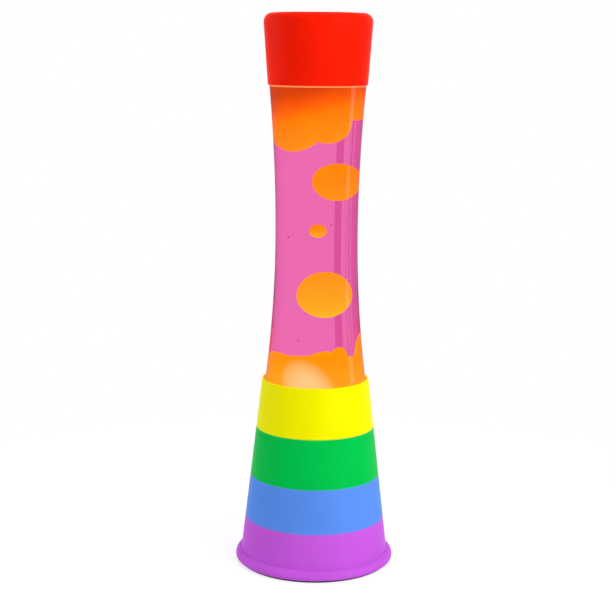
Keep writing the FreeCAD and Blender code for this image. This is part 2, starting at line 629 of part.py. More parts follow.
def helix(angle):
    """Point and direction on the coil's centre line."""
    rise = COIL_PITCH / (2 * math.pi)
    point = V(COIL_RADIUS * math.cos(angle), COIL_RADIUS * math.sin(angle), COIL_Z + rise * angle)
    heading = V(-COIL_RADIUS * math.sin(angle), COIL_RADIUS * math.cos(angle), rise)
    return point, heading.normalize()


def arc_from_corner(start, corner, end):
    """The arc from start to end that touches both lines through their corner."""
    middle = (start + end) * 0.5
    half_turn = (corner - start).getAngle(end - start)
    share = math.tan(half_turn / 2) / math.tan(half_turn)
    return Part.Arc(start, middle + (corner - middle) * share, end).toShape()


def biarc(first, last):
    """Two arcs that join two points of the helix with its direction at both ends."""
    (start, leave), (end, arrive) = first, last
    chord = end - start
    along = chord.dot(leave + arrive)
    bend = 2 * (1 - leave.dot(arrive))
    reach = (math.sqrt(along**2 + bend * chord.dot(chord)) - along) / bend
    near = start + leave * reach
    far = end - arrive * reach
    joint = (near + far) * 0.5
    return [arc_from_corner(start, near, joint), arc_from_corner(joint, far, end)]


def heat_coil():
    """Three open turns of wire on the floor of the bottle, as one unbroken tube."""
    quarters = 4 * COIL_TURNS
    stops = [helix(math.pi / 2 * i) for i in range(quarters + 1)]
    edges = []
    for first, last in zip(stops, stops[1:]):
        edges.extend(biarc(first, last))
    start, heading = stops[0]
    section = Part.Wire(Part.makeCircle(COIL_WIRE_RADIUS, start, heading))
    path = Part.Wire(edges)
    print("least gap of the coil to itself", round(least_self_gap(path), 2))
    return path.makePipeShell([section], True, False)


def least_self_gap(path):
    """Least gap between the coil's turns, on points spread along its centre line."""
    points = path.discretize(Number=COIL_POINTS_PER_TURN * COIL_TURNS + 1)
    half_turn = COIL_POINTS_PER_TURN // 2
    gaps = []
    for i, point in enumerate(points):
        gaps.extend(point.distanceToPoint(other) for other in points[i + half_turn:])
    return min(gaps) - 2 * COIL_WIRE_RADIUS


def bulb_glass(inset):
    """The bulb's outline moved in by inset: neck, flare, wide band and domed face."""
    wide = BULB_RADIUS - inset
    neck = BULB_NECK_RADIUS - inset
    edge_z = BULB_FACE_Z - BULB_FACE_RISE
    flare_z = edge_z - BULB_WIDE_HEIGHT - BULB_FLARE_HEIGHT
    lean = math.atan2(BULB_RADIUS - BULB_NECK_RADIUS, BULB_FLARE_HEIGHT)
    shift = inset * math.tan(lean / 2)
    dome = arc_through(BULB_RADIUS, BULB_FACE_RISE)
    centre_z = BULB_FACE_Z - dome
    low = BULB_CAP_Z + BULB_CAP_LENGTH / 2 + inset
    shape = Outline(0, low).line(neck, low).line(neck, flare_z + shift)
    shape.line(wide, flare_z + BULB_FLARE_HEIGHT + shift)
    shape.arc(0, centre_z, dome - inset, math.acos(wide / (dome - inset)), math.pi / 2)
    return shape.turned()


def bulb_envelope():
    return bulb_glass(0).cut(bulb_glass(BULB_GLASS))


def bulb_screw_cap():
    inner = BULB_CAP_RADIUS - BULB_CAP_SHEET
    return Outline(0, BULB_CAP_Z).line(BULB_CAP_RADIUS, BULB_CAP_Z).line(BULB_CAP_RADIUS, BULB_CAP_TOP_Z).line(
        inner, BULB_CAP_TOP_Z).line(inner, BULB_CAP_Z + BULB_CAP_SHEET).line(
        0, BULB_CAP_Z + BULB_CAP_SHEET).turned()


def bulb_insulator():
    top = BULB_CAP_RADIUS - SOCKET_LEDGE_WIDTH
    return Outline(0, INSULATOR_Z).line(BULB_INSULATOR_RADIUS, INSULATOR_Z).line(top, BULB_CAP_Z).line(
        0, BULB_CAP_Z).turned()


def bulb_contact():
    tip = arc_through(BULB_TIP_RADIUS, BULB_TIP_HEIGHT)
    edge = math.acos(BULB_TIP_RADIUS / tip)
    shape = Outline(0, INSULATOR_Z)
    shape.arc(0, BULB_TIP_Z + tip, tip, -edge, -math.pi / 2)
    return shape.turned()


def stem_base_z():
    return BULB_CAP_Z + BULB_CAP_LENGTH / 2 + BULB_GLASS


def bulb_stem():
    low = stem_base_z()
    top = low + STEM_HEIGHT
    return Outline(0, low).line(STEM_FLARE_RADIUS, low).line(STEM_RADIUS, low + STEM_HEIGHT / 2).line(
        STEM_RADIUS, top).line(0, top).turned()


def bulb_filament():
    """Two leads that stand on the stem, bridged by a bowed filament."""
    low = stem_base_z() + STEM_HEIGHT
    half = STEM_RADIUS - 2 * LEAD_RADIUS
    top = low + FILAMENT_RISE
    left = Part.makeLine(V(-half, 0, low), V(-half, 0, top))
    bow = Part.Arc(V(-half, 0, top), V(0, 0, top + half), V(half, 0, top)).toShape()
    right = Part.makeLine(V(half, 0, top), V(half, 0, low))
    section = Part.Wire(Part.makeCircle(LEAD_RADIUS, V(-half, 0, low), UP))
    return Part.Wire([left, bow, right]).makePipeShell([section], True, False)


def save(name, *shapes):
    """Write one node, made of the separate solids in these shapes."""
    solids = [solid for shape in shapes for solid in shape.Solids]
    node = solids[0] if len(solids) == 1 else Part.makeCompound(solids)
    if not node.isValid():
        raise ValueError(name + " is not a valid solid")
    node.exportStep("parts/" + name + ".step")
    print(name, len(solids), round(node.Volume, 1))


def main():
    os.makedirs("parts", exist_ok=True)
    shell = base_shell()
    save("base_shell", shell)
    save("foot_ring", foot_ring())
    save("bottom_cover", bottom_cover())
    save("cover_screws", *cover_screws())
    save("globe_carrier", globe_carrier())
    save("lampholder_bracket", lampholder_bracket())
    save("bracket_screws", *bracket_screws())
    save("lampholder_body", lampholder_body())
    save("lampholder_nut", lampholder_nut())
    save("lampholder_screw_shell", lampholder_screw_shell())
    save("lampholder_contact", lampholder_contact())
    save("cord_bushing", cord_bushing(shell))
    save("bulb_envelope", bulb_envelope())
    save("bulb_screw_cap", bulb_screw_cap())
    save("bulb_insulator", bulb_insulator())
    save("bulb_contact", bulb_contact())
    save("bulb_stem", bulb_stem())
    save("bulb_filament", bulb_filament())
    save("glass_bottle", glass_bottle())
    save("crown_cap", crown_cap())
    save("crown_liner", crown_liner())
    save("liquid", liquid())
    save("heat_coil", heat_coil())
    save("wax_pool", wax_pool())
    save("wax_top", wax_top())
    save("wax_blob_large", large_blob())
    save("wax_blob_upper", upper_blob())
    save("wax_droplet", droplet())
    save("cap_shell", cap_shell())
    print("lamp height", round(CAP_TOP_Z, 2))


main()
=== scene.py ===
import math

import bmesh
import bpy
from bpy.props import FloatProperty, FloatVectorProperty, IntProperty, PointerProperty
from mathutils import Matrix, Vector


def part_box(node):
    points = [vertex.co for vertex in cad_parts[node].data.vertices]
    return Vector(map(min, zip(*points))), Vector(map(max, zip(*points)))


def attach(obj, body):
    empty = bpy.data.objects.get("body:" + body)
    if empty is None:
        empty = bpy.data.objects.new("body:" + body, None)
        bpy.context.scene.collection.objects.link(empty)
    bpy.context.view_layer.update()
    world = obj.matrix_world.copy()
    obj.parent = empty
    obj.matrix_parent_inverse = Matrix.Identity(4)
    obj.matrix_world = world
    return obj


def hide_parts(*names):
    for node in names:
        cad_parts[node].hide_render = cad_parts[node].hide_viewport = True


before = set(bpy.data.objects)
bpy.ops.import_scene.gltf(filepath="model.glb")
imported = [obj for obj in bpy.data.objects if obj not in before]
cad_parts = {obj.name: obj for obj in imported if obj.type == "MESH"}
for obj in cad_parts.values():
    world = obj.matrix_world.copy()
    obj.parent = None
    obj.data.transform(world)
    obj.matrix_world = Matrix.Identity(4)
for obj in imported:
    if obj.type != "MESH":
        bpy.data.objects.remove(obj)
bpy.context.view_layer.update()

bl_info = {
    "name": "Liquid Motion Lamp",
    "version": (1, 0, 0),
    "blender": (4, 5, 0),
    "location": "3D View > Sidebar > Lamp",
    "description": "Dresses the frame of a liquid motion lamp and sets it on a white stage",
    "category": "Object",
}

MM = 0.001
UP = Vector((0, 0, 1))
ASIDE = Vector((1, 0, 0))
CENTRE = (0, 0, 0)
QUARTER = math.pi / 2
FULL_TURN = 2 * math.pi
BLACK = (0.0, 0.0, 0.0)
WHITE = (1.0, 1.0, 1.0)
MERGE_DISTANCE = 1e-6
SHARP_ANGLE = math.radians(32)

# Steps round the axis: for most pieces, for base and cap, whose outlines show most, for plain insides, for
# small screws, for one flute of the crown and for one turn of the bulb's thread
TURN_STEPS = 144
OUTLINE_STEPS = 192
PLAIN_STEPS = 96
SCREW_STEPS = 24
FLUTE_STEPS = 8
THREAD_STEPS = 48

# How much the filled bottle bends light at its outside, and at the faces where glass, liquid and wax meet
FILLED_IOR = 1.37
STRAIGHT_IOR = 1.0

# Most of a noise lies between these values
NOISE_LOW = 0.3
NOISE_HIGH = 0.7

# Rubber ring under the base, and the small screws: radii, heights and half the pitch of the grooves
RING_WIDTH = 7.4 * MM
RING_EDGE = 0.6 * MM
SCREW_HEAD = 2.6 * MM
SCREW_CROWN = 0.7 * MM
SCREW_SHANK = 1.4 * MM
SCREW_GROOVE = 0.25 * MM

# Bend from the bulb's neck into its flare, and the points that draw one wave of its thread
FLARE_BEND = 0.008
FLARE_SWING = 0.45
THREAD_POINTS = 8
THREAD_MERGE = 0.02 * MM

# Rows of faces down the crown's skirt
SKIRT_ROWS = 6

# Lobes of wax: to the right, to the back, over the wax's level, half width, half height, and how much fuller
# the lower end is
POOL_LOBES = (
    (0.0065, -0.0070, -0.0060, 0.0138, 0.0110, 0.0),
    (0.0158, -0.0250, 0.0042, 0.0062, 0.0074, 0.0),
    (-0.0275, -0.0140, 0.0004, 0.0125, 0.0047, 0.0),
    (0.0292, -0.0030, 0.0032, 0.0068, 0.0145, 0.0),
)
TOP_LOBES = (
    (-0.0142, -0.008, -0.001, 0.0185, 0.0205, 0.1),
    (0.0060, -0.012, -0.0012, 0.0141, 0.0145, 0.1),
)
# How far the pool's tone changes over its level, and how often the wax's skin is smoothed
POOL_CREST = 0.007
SOFTEN_ROUNDS = 10

# Floating wax: piece, node, body, width and height against the node's, how much fuller the lower end is, and
# the tones at its lower and upper end, which paint the bulb's light from below
FLOATING = (
    ("large_blob", "wax_blob_large", "large_blob", 0.945, 0.99, 0.06, "wax_painted_bulb_light", "wax_mild"),
    ("upper_blob", "wax_blob_upper", "upper_blob", 0.97, 1.0, -0.05, "wax_mild", "wax_warm"),
    ("small_drop", "wax_droplet", "droplet", 0.97, 1.0, 0.0, "wax_painted_bulb_light", "wax_warm"),
)
BEAD_PLACES = ((-0.0105, -0.014, 0.1635), (-0.0165, -0.008, 0.2355), (0.0078, -0.004, 0.244))
BEAD_FLATNESS = 0.9

# Painted light of the bulb through the pool, a pale dome in front and behind: axis, middle and half size, the
# heights between which it leans to the left, and how far
DOME = (("X", -0.0045, 0.019), ("Y", 0.030, 0.024), ("Z", 0.130, 0.023))
DOME_FOOT = 0.130
DOME_TOP = 0.153
DOME_LEAN = 0.0065

FLOOR_RADIUS = 6.0
FLOOR_SEGMENTS = 64
SENSOR_WIDTH = 36
LIGHT_AIM = Vector((0, 0, 0.2))

# Soft lights: name, place, width and the setting that holds the power
LIGHTS = (
    ("key_light", (0.95, -0.85, 0.75), 0.9, "key_power"),
    ("fill_light", (-1.3, 0.15, 0.5), 0.9, "fill_power"),
    ("top_light", (0.1, 0.1, 1.35), 0.7, "top_power"),
)

# Tall cards round the lamp, which paint streaks and reflections into the glass: name, the rays that see it,
# first and last degree, counted from straight behind towards the left, strength and tint
THROUGH = "Is Transmission Ray"
MIRRORED = "Is Reflection Ray"
STREAK = (0.85, 0.56, 0.75)
PALE_STREAK = (0.90, 0.66, 0.82)
DARK_EDGE = (0.40, 0.16, 0.34)
DIM_ROOM = (0.16, 0.12, 0.14)
CARDS = (
    ("near_card", THROUGH, 10.6, 16.6, 1.0, STREAK),
    ("far_card", THROUGH, 21.4, 28.4, 1.0, STREAK),
    ("side_card", THROUGH, 31.4, 52.3, 1.0, PALE_STREAK),
    ("left_edge_card", MIRRORED, 4.0, 32.0, 1.0, DARK_EDGE),
    ("right_edge_card", MIRRORED, -32.0, -4.0, 1.0, DARK_EDGE),
    ("front_card", MIRRORED, 32.0, 262.0, 1.0, DIM_ROOM),
    ("right_strip", MIRRORED, -98.0, -85.0, 1.7, WHITE),
    ("right_card", MIRRORED, -85.0, -32.0, 1.0, DIM_ROOM),
)
CARD_STEPS = 24


def lowest(node):
    """Height of the node's lowest point."""
    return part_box(node)[0].z


def highest(node):
    """Height of the node's highest point."""
    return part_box(node)[1].z


def reach(node):
    """The node's largest radius, for a node turned about the lamp's axis."""
    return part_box(node)[1].x


def fill_level():
    """Height to which liquid and wax fill the bottle."""
    return max(highest("liquid"), highest("wax_top"))


def length(name, description, millimetres):
    return FloatProperty(name=name, description=description, default=millimetres * MM,
                         unit="LENGTH", precision=4)


def angle(name, description, degrees):
    return FloatProperty(name=name, description=description, default=math.radians(degrees),
                         unit="ROTATION")


def share(name, description, value):
    return FloatProperty(name=name, description=description, default=value, min=0, max=1,
                         subtype="FACTOR")


def power(name, description, watts):
    return FloatProperty(name=name, description=description, default=watts, min=0, unit="POWER")


def colour(name, description, *rgb):
    return FloatVectorProperty(name=name, description=description, default=rgb, min=0, max=1,
                               subtype="COLOR")


class LampBaseSizes(bpy.types.PropertyGroup):
    wall: length("Wall", "Thickness of the base's sheet", 1.0)
    rim_radius: length("Rim radius", "Outer radius of the cone at its top", 37.8)
    rim_opening: length("Rim opening", "Radius of the opening that the bottle stands in", 36.1)
    rim_round: length("Rim round", "Radius of the rim's outer edge", 1.2)
    lip_round: length("Lip round", "Radius of the rim's inner edge", 0.4)
    bead_round: length("Bead round", "Radius of the rolled bead at the foot", 4.6)
    bead_rise: length("Bead rise", "Height of the bead's widest line over the flange", 1.9)
    bead_proud: length("Bead proud", "How far the bead stands out from the cone", 4.05)
    flange: length("Flange", "Width of the flange under the base", 15.5)
    cord_hole: length("Cord hole", "Half width of the hole behind the cord bushing", 4.0)
    yellow_edge: length("Yellow edge", "Height where yellow paint meets green", 98.8)
    green_edge: length("Green edge", "Height where green paint meets blue", 64.0)
    blue_edge: length("Blue edge", "Height where blue paint meets violet", 33.0)
    edge_blur: length("Edge blur", "Width over which two paints meet", 0.7)


class LampBottleSizes(bpy.types.PropertyGroup):
    wall: length("Wall", "Thickness of the glass", 2.4)
    rim_height: length("Rim height", "Height where the hourglass starts", 133.9)
    rim_radius: length("Rim radius", "Outer radius where the hourglass starts", 35.5)
    waist_rise: length("Waist rise", "Height of the waist over the start", 104.1)
    waist_radius: length("Waist radius", "Outer radius at the waist", 28.8)
    shoulder_rise: length("Shoulder rise", "Height of the shoulder over the waist", 101.4)
    shoulder_radius: length("Shoulder radius", "Outer radius at the shoulder", 33.4)
    heel_round: length("Heel round", "Radius of the heel", 9.0)
    belly_round: length("Belly round", "Radius that leads from the heel into the hourglass", 20.0)
    punt_radius: length("Punt radius", "Radius of the hollow under the bottle", 24.0)
    punt_rise: length("Punt rise", "Depth of the hollow under the bottle", 12.0)
    blend_round: length("Blend round", "Radius that ends the hourglass under the shoulder", 10.0)
    shoulder_land: length("Shoulder land", "Height of the straight wall at the shoulder", 2.0)
    shoulder_round: length("Shoulder round", "Radius of the shoulder", 15.0)
    shoulder_sweep: angle("Shoulder sweep", "How far the shoulder turns in", 70.0)
    neck_radius: length("Neck radius", "Outer radius of the neck", 12.3)
    neck_fillet: length("Neck fillet", "Radius between shoulder and neck", 6.0)
    lip_radius: length("Lip radius", "Outer radius of the lip", 13.25)
    lip_height: length("Lip height", "Height of the lip", 8.0)
    lip_round: length("Lip round", "Radius of the lip's top edge", 0.8)
    overlap: length("Overlap", "How far the liquid reaches into the glass, so that no air shows", 0.25)


class LampCrownSizes(bpy.types.PropertyGroup):
    sheet: length("Sheet", "Thickness of the crown's sheet", 0.45)
    height: length("Height", "Height of the crown", 6.0)
    grip_radius: length("Grip radius", "Inner radius round the bottle's lip", 13.55)
    corner: length("Corner", "Radius of the crown's top edge", 1.4)
    flute_depth: length("Flute depth", "Depth of the flutes at the skirt's edge", 0.75)
    flutes: IntProperty(name="Flutes", description="Number of flutes round the skirt", default=21, min=3)


class LampCapSizes(bpy.types.PropertyGroup):
    wall: length("Wall", "Thickness of the cap's sheet", 0.7)
    corner: length("Corner", "Radius of the cap's top edge", 6.0)
    mouth_radius: length("Mouth radius", "Outer radius at the mouth", 34.49)
    edge_round: length("Edge round", "Radius of the mouth's edge", 0.3)


class LampBulbSizes(bpy.types.PropertyGroup):
    glass: length("Glass", "Thickness of the bulb's glass", 0.8)
    face_rise: length("Face rise", "Height of the domed face", 8.0)
    wide: length("Wide band", "Height of the widest band", 7.0)
    flare: length("Flare", "Height of the flare", 22.0)
    neck_radius: length("Neck radius", "Radius of the bulb's neck", 6.4)
    thread_pitch: length("Thread pitch", "Pitch of the screw cap's thread", 2.822)
    thread_depth: length("Thread depth", "Depth of the screw cap's thread", 0.55)
    thread_wall: length("Thread wall", "Thickness of the screw cap's sheet", 0.3)


class LampWaxSizes(bpy.types.PropertyGroup):
    film: length("Film", "Gap between wax and glass", 0.15)
    voxel: length("Voxel", "Fineness of the wax's skin", 0.7)
    cover: length("Cover", "Depth of the liquid over the upper wax", 1.0)
    cling: length("Cling", "Wax nearer to the wall than this lies against it", 1.6)
    pool_level: length("Pool level", "Height of the pool's top over the lamp's axis", 149.4)
    pool_tilt: angle("Pool tilt", "How far the pool's top leans up towards the front", 12.0)
    top_level: length("Top level", "Height of the upper wax's level underside", 316.5)
    blob_lift: length("Blob lift", "How far the floating blobs hang over the middle of their solids", 1.0)
    bead_radius: length("Bead radius", "Radius of the small stray beads of wax", 0.75)


class LampColours(bpy.types.PropertyGroup):
    yellow: colour("Yellow", "Paint of the base's top band", 0.90, 0.86, 0.0)
    green: colour("Green", "Paint of the base's second band", 0.0, 0.52, 0.07)
    blue: colour("Blue", "Paint of the base's third band", 0.10, 0.27, 0.84)
    violet: colour("Violet", "Paint of the base's lowest band", 0.56, 0.10, 0.71)
    red: colour("Red", "Paint of the cap", 0.93, 0.011, 0.001)
    liquid: colour("Liquid", "Light that has passed the liquid", 0.86, 0.152, 0.455)
    # The wax colours are painted light and shade of the bulb below: the first is painted shade under the cap,
    # the next two are middle tones, the fourth is painted light on the undersides, and the last is a painted
    # highlight along the cap's edge.
    wax_painted_shade: colour("Deep wax", "Wax under the cap, furthest from the bulb", 0.52, 0.125, 0.0)
    wax_warm: colour("Warm wax", "Upper side of the upper blob and the droplet", 1.0, 0.48, 0.0)
    wax_mild: colour("Mild wax", "Top of the large blob, underside of the wax above", 1.0, 0.68, 0.01)
    wax_painted_bulb_light: colour("Light wax", "Lower side of the large blob and the droplet", 1.0, 0.98, 0.02)
    wax_painted_highlight: colour("Wax line", "Wax that shines along the cap's edge", 1.0, 0.86, 0.16)
    bead: colour("Bead", "Small beads of wax, stained by the liquid", 0.66, 0.30, 0.38)
    # The pool's colours paint the bulb's light: paler down at the floor near the bulb, and palest in a dome
    # where it shines through.
    pool_high: colour("Pool top", "Wax at the pool's surface", 0.62, 0.44, 0.0)
    pool_low: colour("Pool floor", "Wax down at the bottle's floor", 0.62, 0.66, 0.02)
    pool_painted_glow: colour("Pool glow", "Wax that the bulb shines through", 0.75, 0.88, 0.19)
    rubber: colour("Rubber", "Foot ring and bushing", 0.022, 0.022, 0.024)
    zinc: colour("Zinc", "Plated sheet inside the base", 0.58, 0.59, 0.60)
    tinplate: colour("Tinplate", "Crown on the bottle", 0.78, 0.76, 0.70)
    brass: colour("Brass", "Contacts and screw shell", 0.80, 0.58, 0.22)
    aluminium: colour("Aluminium", "Screw cap of the bulb", 0.80, 0.81, 0.82)
    ivory: colour("Ivory", "Moulded lampholder", 0.80, 0.77, 0.68)
    insulator: colour("Insulator", "Black glass round the bulb's tip", 0.02, 0.02, 0.022)
    stem: colour("Stem", "Glass stem in the bulb", 0.75, 0.78, 0.78)
    liner: colour("Liner", "Seal inside the crown", 0.80, 0.80, 0.77)
    silver: colour("Silver", "Silvered flare of the bulb", 0.82, 0.82, 0.80)
    frost: colour("Frost", "Frosted face of the bulb", 0.95, 0.90, 0.80)
    lamplight: colour("Lamplight", "Light of the bulb's face", 1.0, 0.72, 0.42)


class LampStageSettings(bpy.types.PropertyGroup):
    camera_distance: length("Camera distance", "From the lamp's axis to the camera", 1000)
    camera_height: length("Camera height", "Height of the camera", 365)
    camera_aside: length("Camera aside", "How far the camera stands to the left", 5.6)
    camera_pitch: angle("Camera pitch", "How far the camera looks down", 10.275)
    camera_roll: angle("Camera roll", "How far the camera is turned about its line of sight", 0.45)
    camera_lens: FloatProperty(name="Lens", description="Focal length", default=84.04, unit="CAMERA")
    key_power: power("Key", "Power of the large soft light at the right", 12.8)
    fill_power: power("Fill", "Power of the soft light at the left", 5.5)
    top_power: power("Top", "Power of the soft light above", 3.8)
    room_light: share("Room light", "Even light from all round", 0.47)
    floor_shade: share("Floor shade", "How much of the lamp's shadow shows on the floor beside it", 0.45)
    floor_lit: share("Floor lit", "Light on the open floor, which the floor's own white makes up to 1", 0.72)
    card_distance: length("Card distance", "From the lamp's axis to the cards round it", 250)
    card_foot: length("Card foot", "Height of the cards' lower edge", 2)
    card_height: length("Card height", "Height of the cards", 500)
    floor_fade: length("Floor fade", "From the lamp's axis to where the floor is all white", 420)


GROUPS = {
    "lamp_base": LampBaseSizes,
    "lamp_bottle": LampBottleSizes,
    "lamp_crown": LampCrownSizes,
    "lamp_cap": LampCapSizes,
    "lamp_bulb": LampBulbSizes,
    "lamp_wax": LampWaxSizes,
    "lamp_colours": LampColours,
    "lamp_stage": LampStageSettings,
}


class Section:
    """Half sections in radius and height, drawn point by point, then turned about the lamp's axis."""

    def __init__(self):
        self.mesh = bmesh.new()
        self.tip = None

    def start(self, radius, height):
        self.tip = self.mesh.verts.new((radius, 0, height))
        return self

    def line(self, radius, height):
        point = Vector((radius, 0, height))
        if (point - self.tip.co).length > MERGE_DISTANCE:
            self.tip = bmesh.ops.extrude_vert_indiv(self.mesh, verts=[self.tip])["verts"][0]
            self.tip.co = point
        return self

    def arc(self, centre_radius, centre_height, radius, first, last, steps=8):
        """A straight run to the arc, then the arc between two angles, counted from outward to up."""
        self.line(centre_radius + radius * math.cos(first), centre_height + radius * math.sin(first))
        swung = bmesh.ops.spin(self.mesh, geom=[self.tip], cent=(centre_radius, 0, centre_height),
                               axis=(0, -1, 0), angle=last - first, steps=steps)
        self.tip = vertices_of(swung["geom_last"])[0]
        return self

    def turned(self, steps=TURN_STEPS):
        """The section turned full circle into a mesh whose faces point outwards."""
        drawn = self.mesh.verts[:] + self.mesh.edges[:]
        bmesh.ops.spin(self.mesh, geom=drawn, cent=CENTRE, axis=UP, angle=FULL_TURN, steps=steps,
                       use_merge=True)
        bmesh.ops.remove_doubles(self.mesh, verts=self.mesh.verts, dist=MERGE_DISTANCE)
        bmesh.ops.recalc_face_normals(self.mesh, faces=self.mesh.faces)
        return self.mesh


def vertices_of(geometry):
    return [item for item in geometry if isinstance(item, bmesh.types.BMVert)]


def cut(mesh, place, normal, clear=False, near=0.0):
    """Cut the whole mesh along a plane, and clear what lies beyond it if asked."""
    everything = mesh.verts[:] + mesh.edges[:] + mesh.faces[:]
    bmesh.ops.bisect_plane(mesh, geom=everything, plane_co=place, plane_no=normal,
                           clear_outer=clear, dist=near)


def close_rim(mesh):
    """Close the opening that a cut left."""
    rim = [edge for edge in mesh.edges if edge.is_boundary]
    if rim:
        bmesh.ops.contextual_create(mesh, geom=rim)


def as_object(mesh, name, *materials):
    """The mesh as an object of the scene."""
    data = bpy.data.meshes.new(name)
    mesh.to_mesh(data)
    mesh.free()
    for material in materials:
        data.materials.append(material)
    made = bpy.data.objects.new(name, data)
    bpy.context.scene.collection.objects.link(made)
    return made


def finished(mesh, name, body, slot, material, *nodes):
    """The mesh as a named piece that rides on a body and stands for these nodes."""
    for face in mesh.faces:
        face.smooth = True
    for edge in mesh.edges:
        edge.smooth = not edge.is_manifold or edge.calc_face_angle() < SHARP_ANGLE
    piece = as_object(mesh, name, material)
    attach(piece, body)
    if nodes:
        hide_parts(*nodes)
    return piece


def dress(material, *nodes):
    """Give CAD nodes whose shape is right their finish."""
    for node in nodes:
        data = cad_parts[node].data
        data.materials.clear()
        data.materials.append(material)


class Finish:
    """A material with short calls for the nodes that the lamp's finishes share."""

    def __init__(self, name):
        self.material = bpy.data.materials.new(name)
        self.material.use_nodes = True
        self.tree = self.material.node_tree
        self.shader = self.tree.nodes["Principled BSDF"]

    def node(self, kind, **settings):
        made = self.tree.nodes.new("ShaderNode" + kind)
        for name, value in settings.items():
            setattr(made, name, value)
        return made

    def join(self, output, target):
        self.tree.links.new(output, target)

    def set(self, **values):
        """Set plain values on the shader: underscores stand for the spaces in a socket's name."""
        for name, value in values.items():
            socket = self.shader.inputs[name.replace("_", " ")]
            socket.default_value = (*value, 1.0) if isinstance(value, tuple) else value

    def to(self, socket, source):
        self.join(source, self.shader.inputs[socket])

    def surface(self, factor, first, second):
        """Let the factor choose between two shaders, in place of the plain one."""
        both = self.node("MixShader")
        for output, socket in zip((factor, first, second), both.inputs):
            self.join(output, socket)
        self.join(both.outputs[0], self.tree.nodes["Material Output"].inputs["Surface"])

    def place(self):
        return self.node("TexCoord").outputs["Object"]

    def along(self, axis):
        split = self.node("SeparateXYZ")
        self.join(self.place(), split.inputs[0])
        return split.outputs[axis]

    def noise(self, size, detail=3.0, stretch=(1, 1, 1)):
        """Noise whose grains are about this size, drawn out along an axis by stretch."""
        mapping = self.node("Mapping")
        mapping.inputs["Scale"].default_value = [1 / (size * part) for part in stretch]
        self.join(self.place(), mapping.inputs["Vector"])
        made = self.node("TexNoise")
        made.inputs["Scale"].default_value = 1.0
        made.inputs["Detail"].default_value = detail
        self.join(mapping.outputs[0], made.inputs["Vector"])
        return made.outputs[0]

    def spread(self, source, low, high, to_low, to_high):
        """The source's range from low to high, spread over another range and held at its ends."""
        made = self.node("MapRange")
        for name, value in (("From Min", low), ("From Max", high), ("To Min", to_low), ("To Max", to_high)):
            made.inputs[name].default_value = value
        self.join(source, made.inputs["Value"])
        return made.outputs[0]

    def uneven(self, low, high, size, **grain):
        """A value that wanders between low and high in patches of this size."""
        return self.spread(self.noise(size, **grain), NOISE_LOW, NOISE_HIGH, low, high)

    def mottled(self, rgb, size, amount):
        """A colour that varies gently in patches of this size."""
        dark = [part * (1 - amount) for part in rgb]
        light = [min(1.0, part * (1 + amount)) for part in rgb]
        return self.ramp(self.noise(size), (NOISE_LOW, dark), (NOISE_HIGH, light))

    def bump(self, size, depth, strength, **grain):
        """Unevenness of the surface with grains of this size."""
        made = self.node("Bump")
        made.inputs["Strength"].default_value = strength
        made.inputs["Distance"].default_value = depth
        self.join(self.noise(size, **grain), made.inputs["Height"])
        self.to("Normal", made.outputs[0])

    def maths(self, operation, first, second):
        made = self.node("Math", operation=operation)
        for socket, value in zip(made.inputs, (first, second)):
            if isinstance(value, (int, float)):
                socket.default_value = value
            else:
                self.join(value, socket)
        return made.outputs[0]

    def ramp(self, source, *stops):
        """Colours at positions from 0 to 1, with even changes between them."""
        made = self.node("ValToRGB")
        elements = made.color_ramp.elements
        while len(elements) < len(stops):
            elements.new(1.0)
        for element, (position, rgb) in zip(elements, stops):
            element.position = position
            element.color = (*rgb, 1.0)
        self.join(source, made.inputs[0])
        return made.outputs[0]

    def mix(self, factor, first, second):
        """A colour that the factor leads from the first to the second."""
        made = self.node("Mix", data_type="RGBA")
        for name, value in (("Factor", factor), ("A", first), ("B", second)):
            sockets = [socket for socket in made.inputs if socket.name == name and socket.enabled]
            if isinstance(value, bpy.types.NodeSocket):
                self.join(value, sockets[0])
            else:
                sockets[0].default_value = (*value, 1.0)
        return [socket for socket in made.outputs if socket.enabled][0]


def satin(paint):
    """Give a paint its soft gloss and a faint orange peel."""
    paint.to("Roughness", paint.uneven(0.36, 0.44, size=0.012))
    paint.bump(size=0.0016, depth=0.00002, strength=0.35, detail=1.0)
    paint.set(Specular_IOR_Level=0.02)
    return paint.material


def band_paint(sizes, colours):
    """Satin paint in four bands that meet in level lines, a little uneven in tone."""
    paint = Finish("base_band_paint")
    low = lowest("base_shell")
    high = highest("base_shell")
    blur = sizes.edge_blur / (high - low) / 2
    stops = [(0.0, colours.violet)]
    for edge, below, above in ((sizes.blue_edge, colours.violet, colours.blue),
                               (sizes.green_edge, colours.blue, colours.green),
                               (sizes.yellow_edge, colours.green, colours.yellow)):
        position = (edge - low) / (high - low)
        stops.append((position - blur, below))
        stops.append((position + blur, above))
    bands = paint.ramp(paint.spread(paint.along("Z"), low, high, 0, 1), *stops)
    paint.to("Base Color", paint.mix(paint.uneven(0.0, 0.06, size=0.03), bands, BLACK))
    return satin(paint)


def cap_paint(colours):
    """Satin red paint, a little uneven in tone."""
    paint = Finish("cap_red_paint")
    paint.to("Base Color", paint.mottled(colours.red, size=0.03, amount=0.05))
    return satin(paint)


def plated_sheet(name, rgb, roughness, grain=(1, 1, 1)):
    """Metal with a fine grain, uneven in shine as plated or drawn sheet is."""
    metal = Finish(name)
    metal.to("Base Color", metal.mottled(rgb, size=0.004, amount=0.08))
    metal.to("Roughness", metal.uneven(roughness, roughness + 0.14, size=0.0009, stretch=grain))
    metal.bump(size=0.0007, depth=0.00001, strength=0.4, stretch=grain)
    metal.set(Metallic=1.0)
    return metal.material


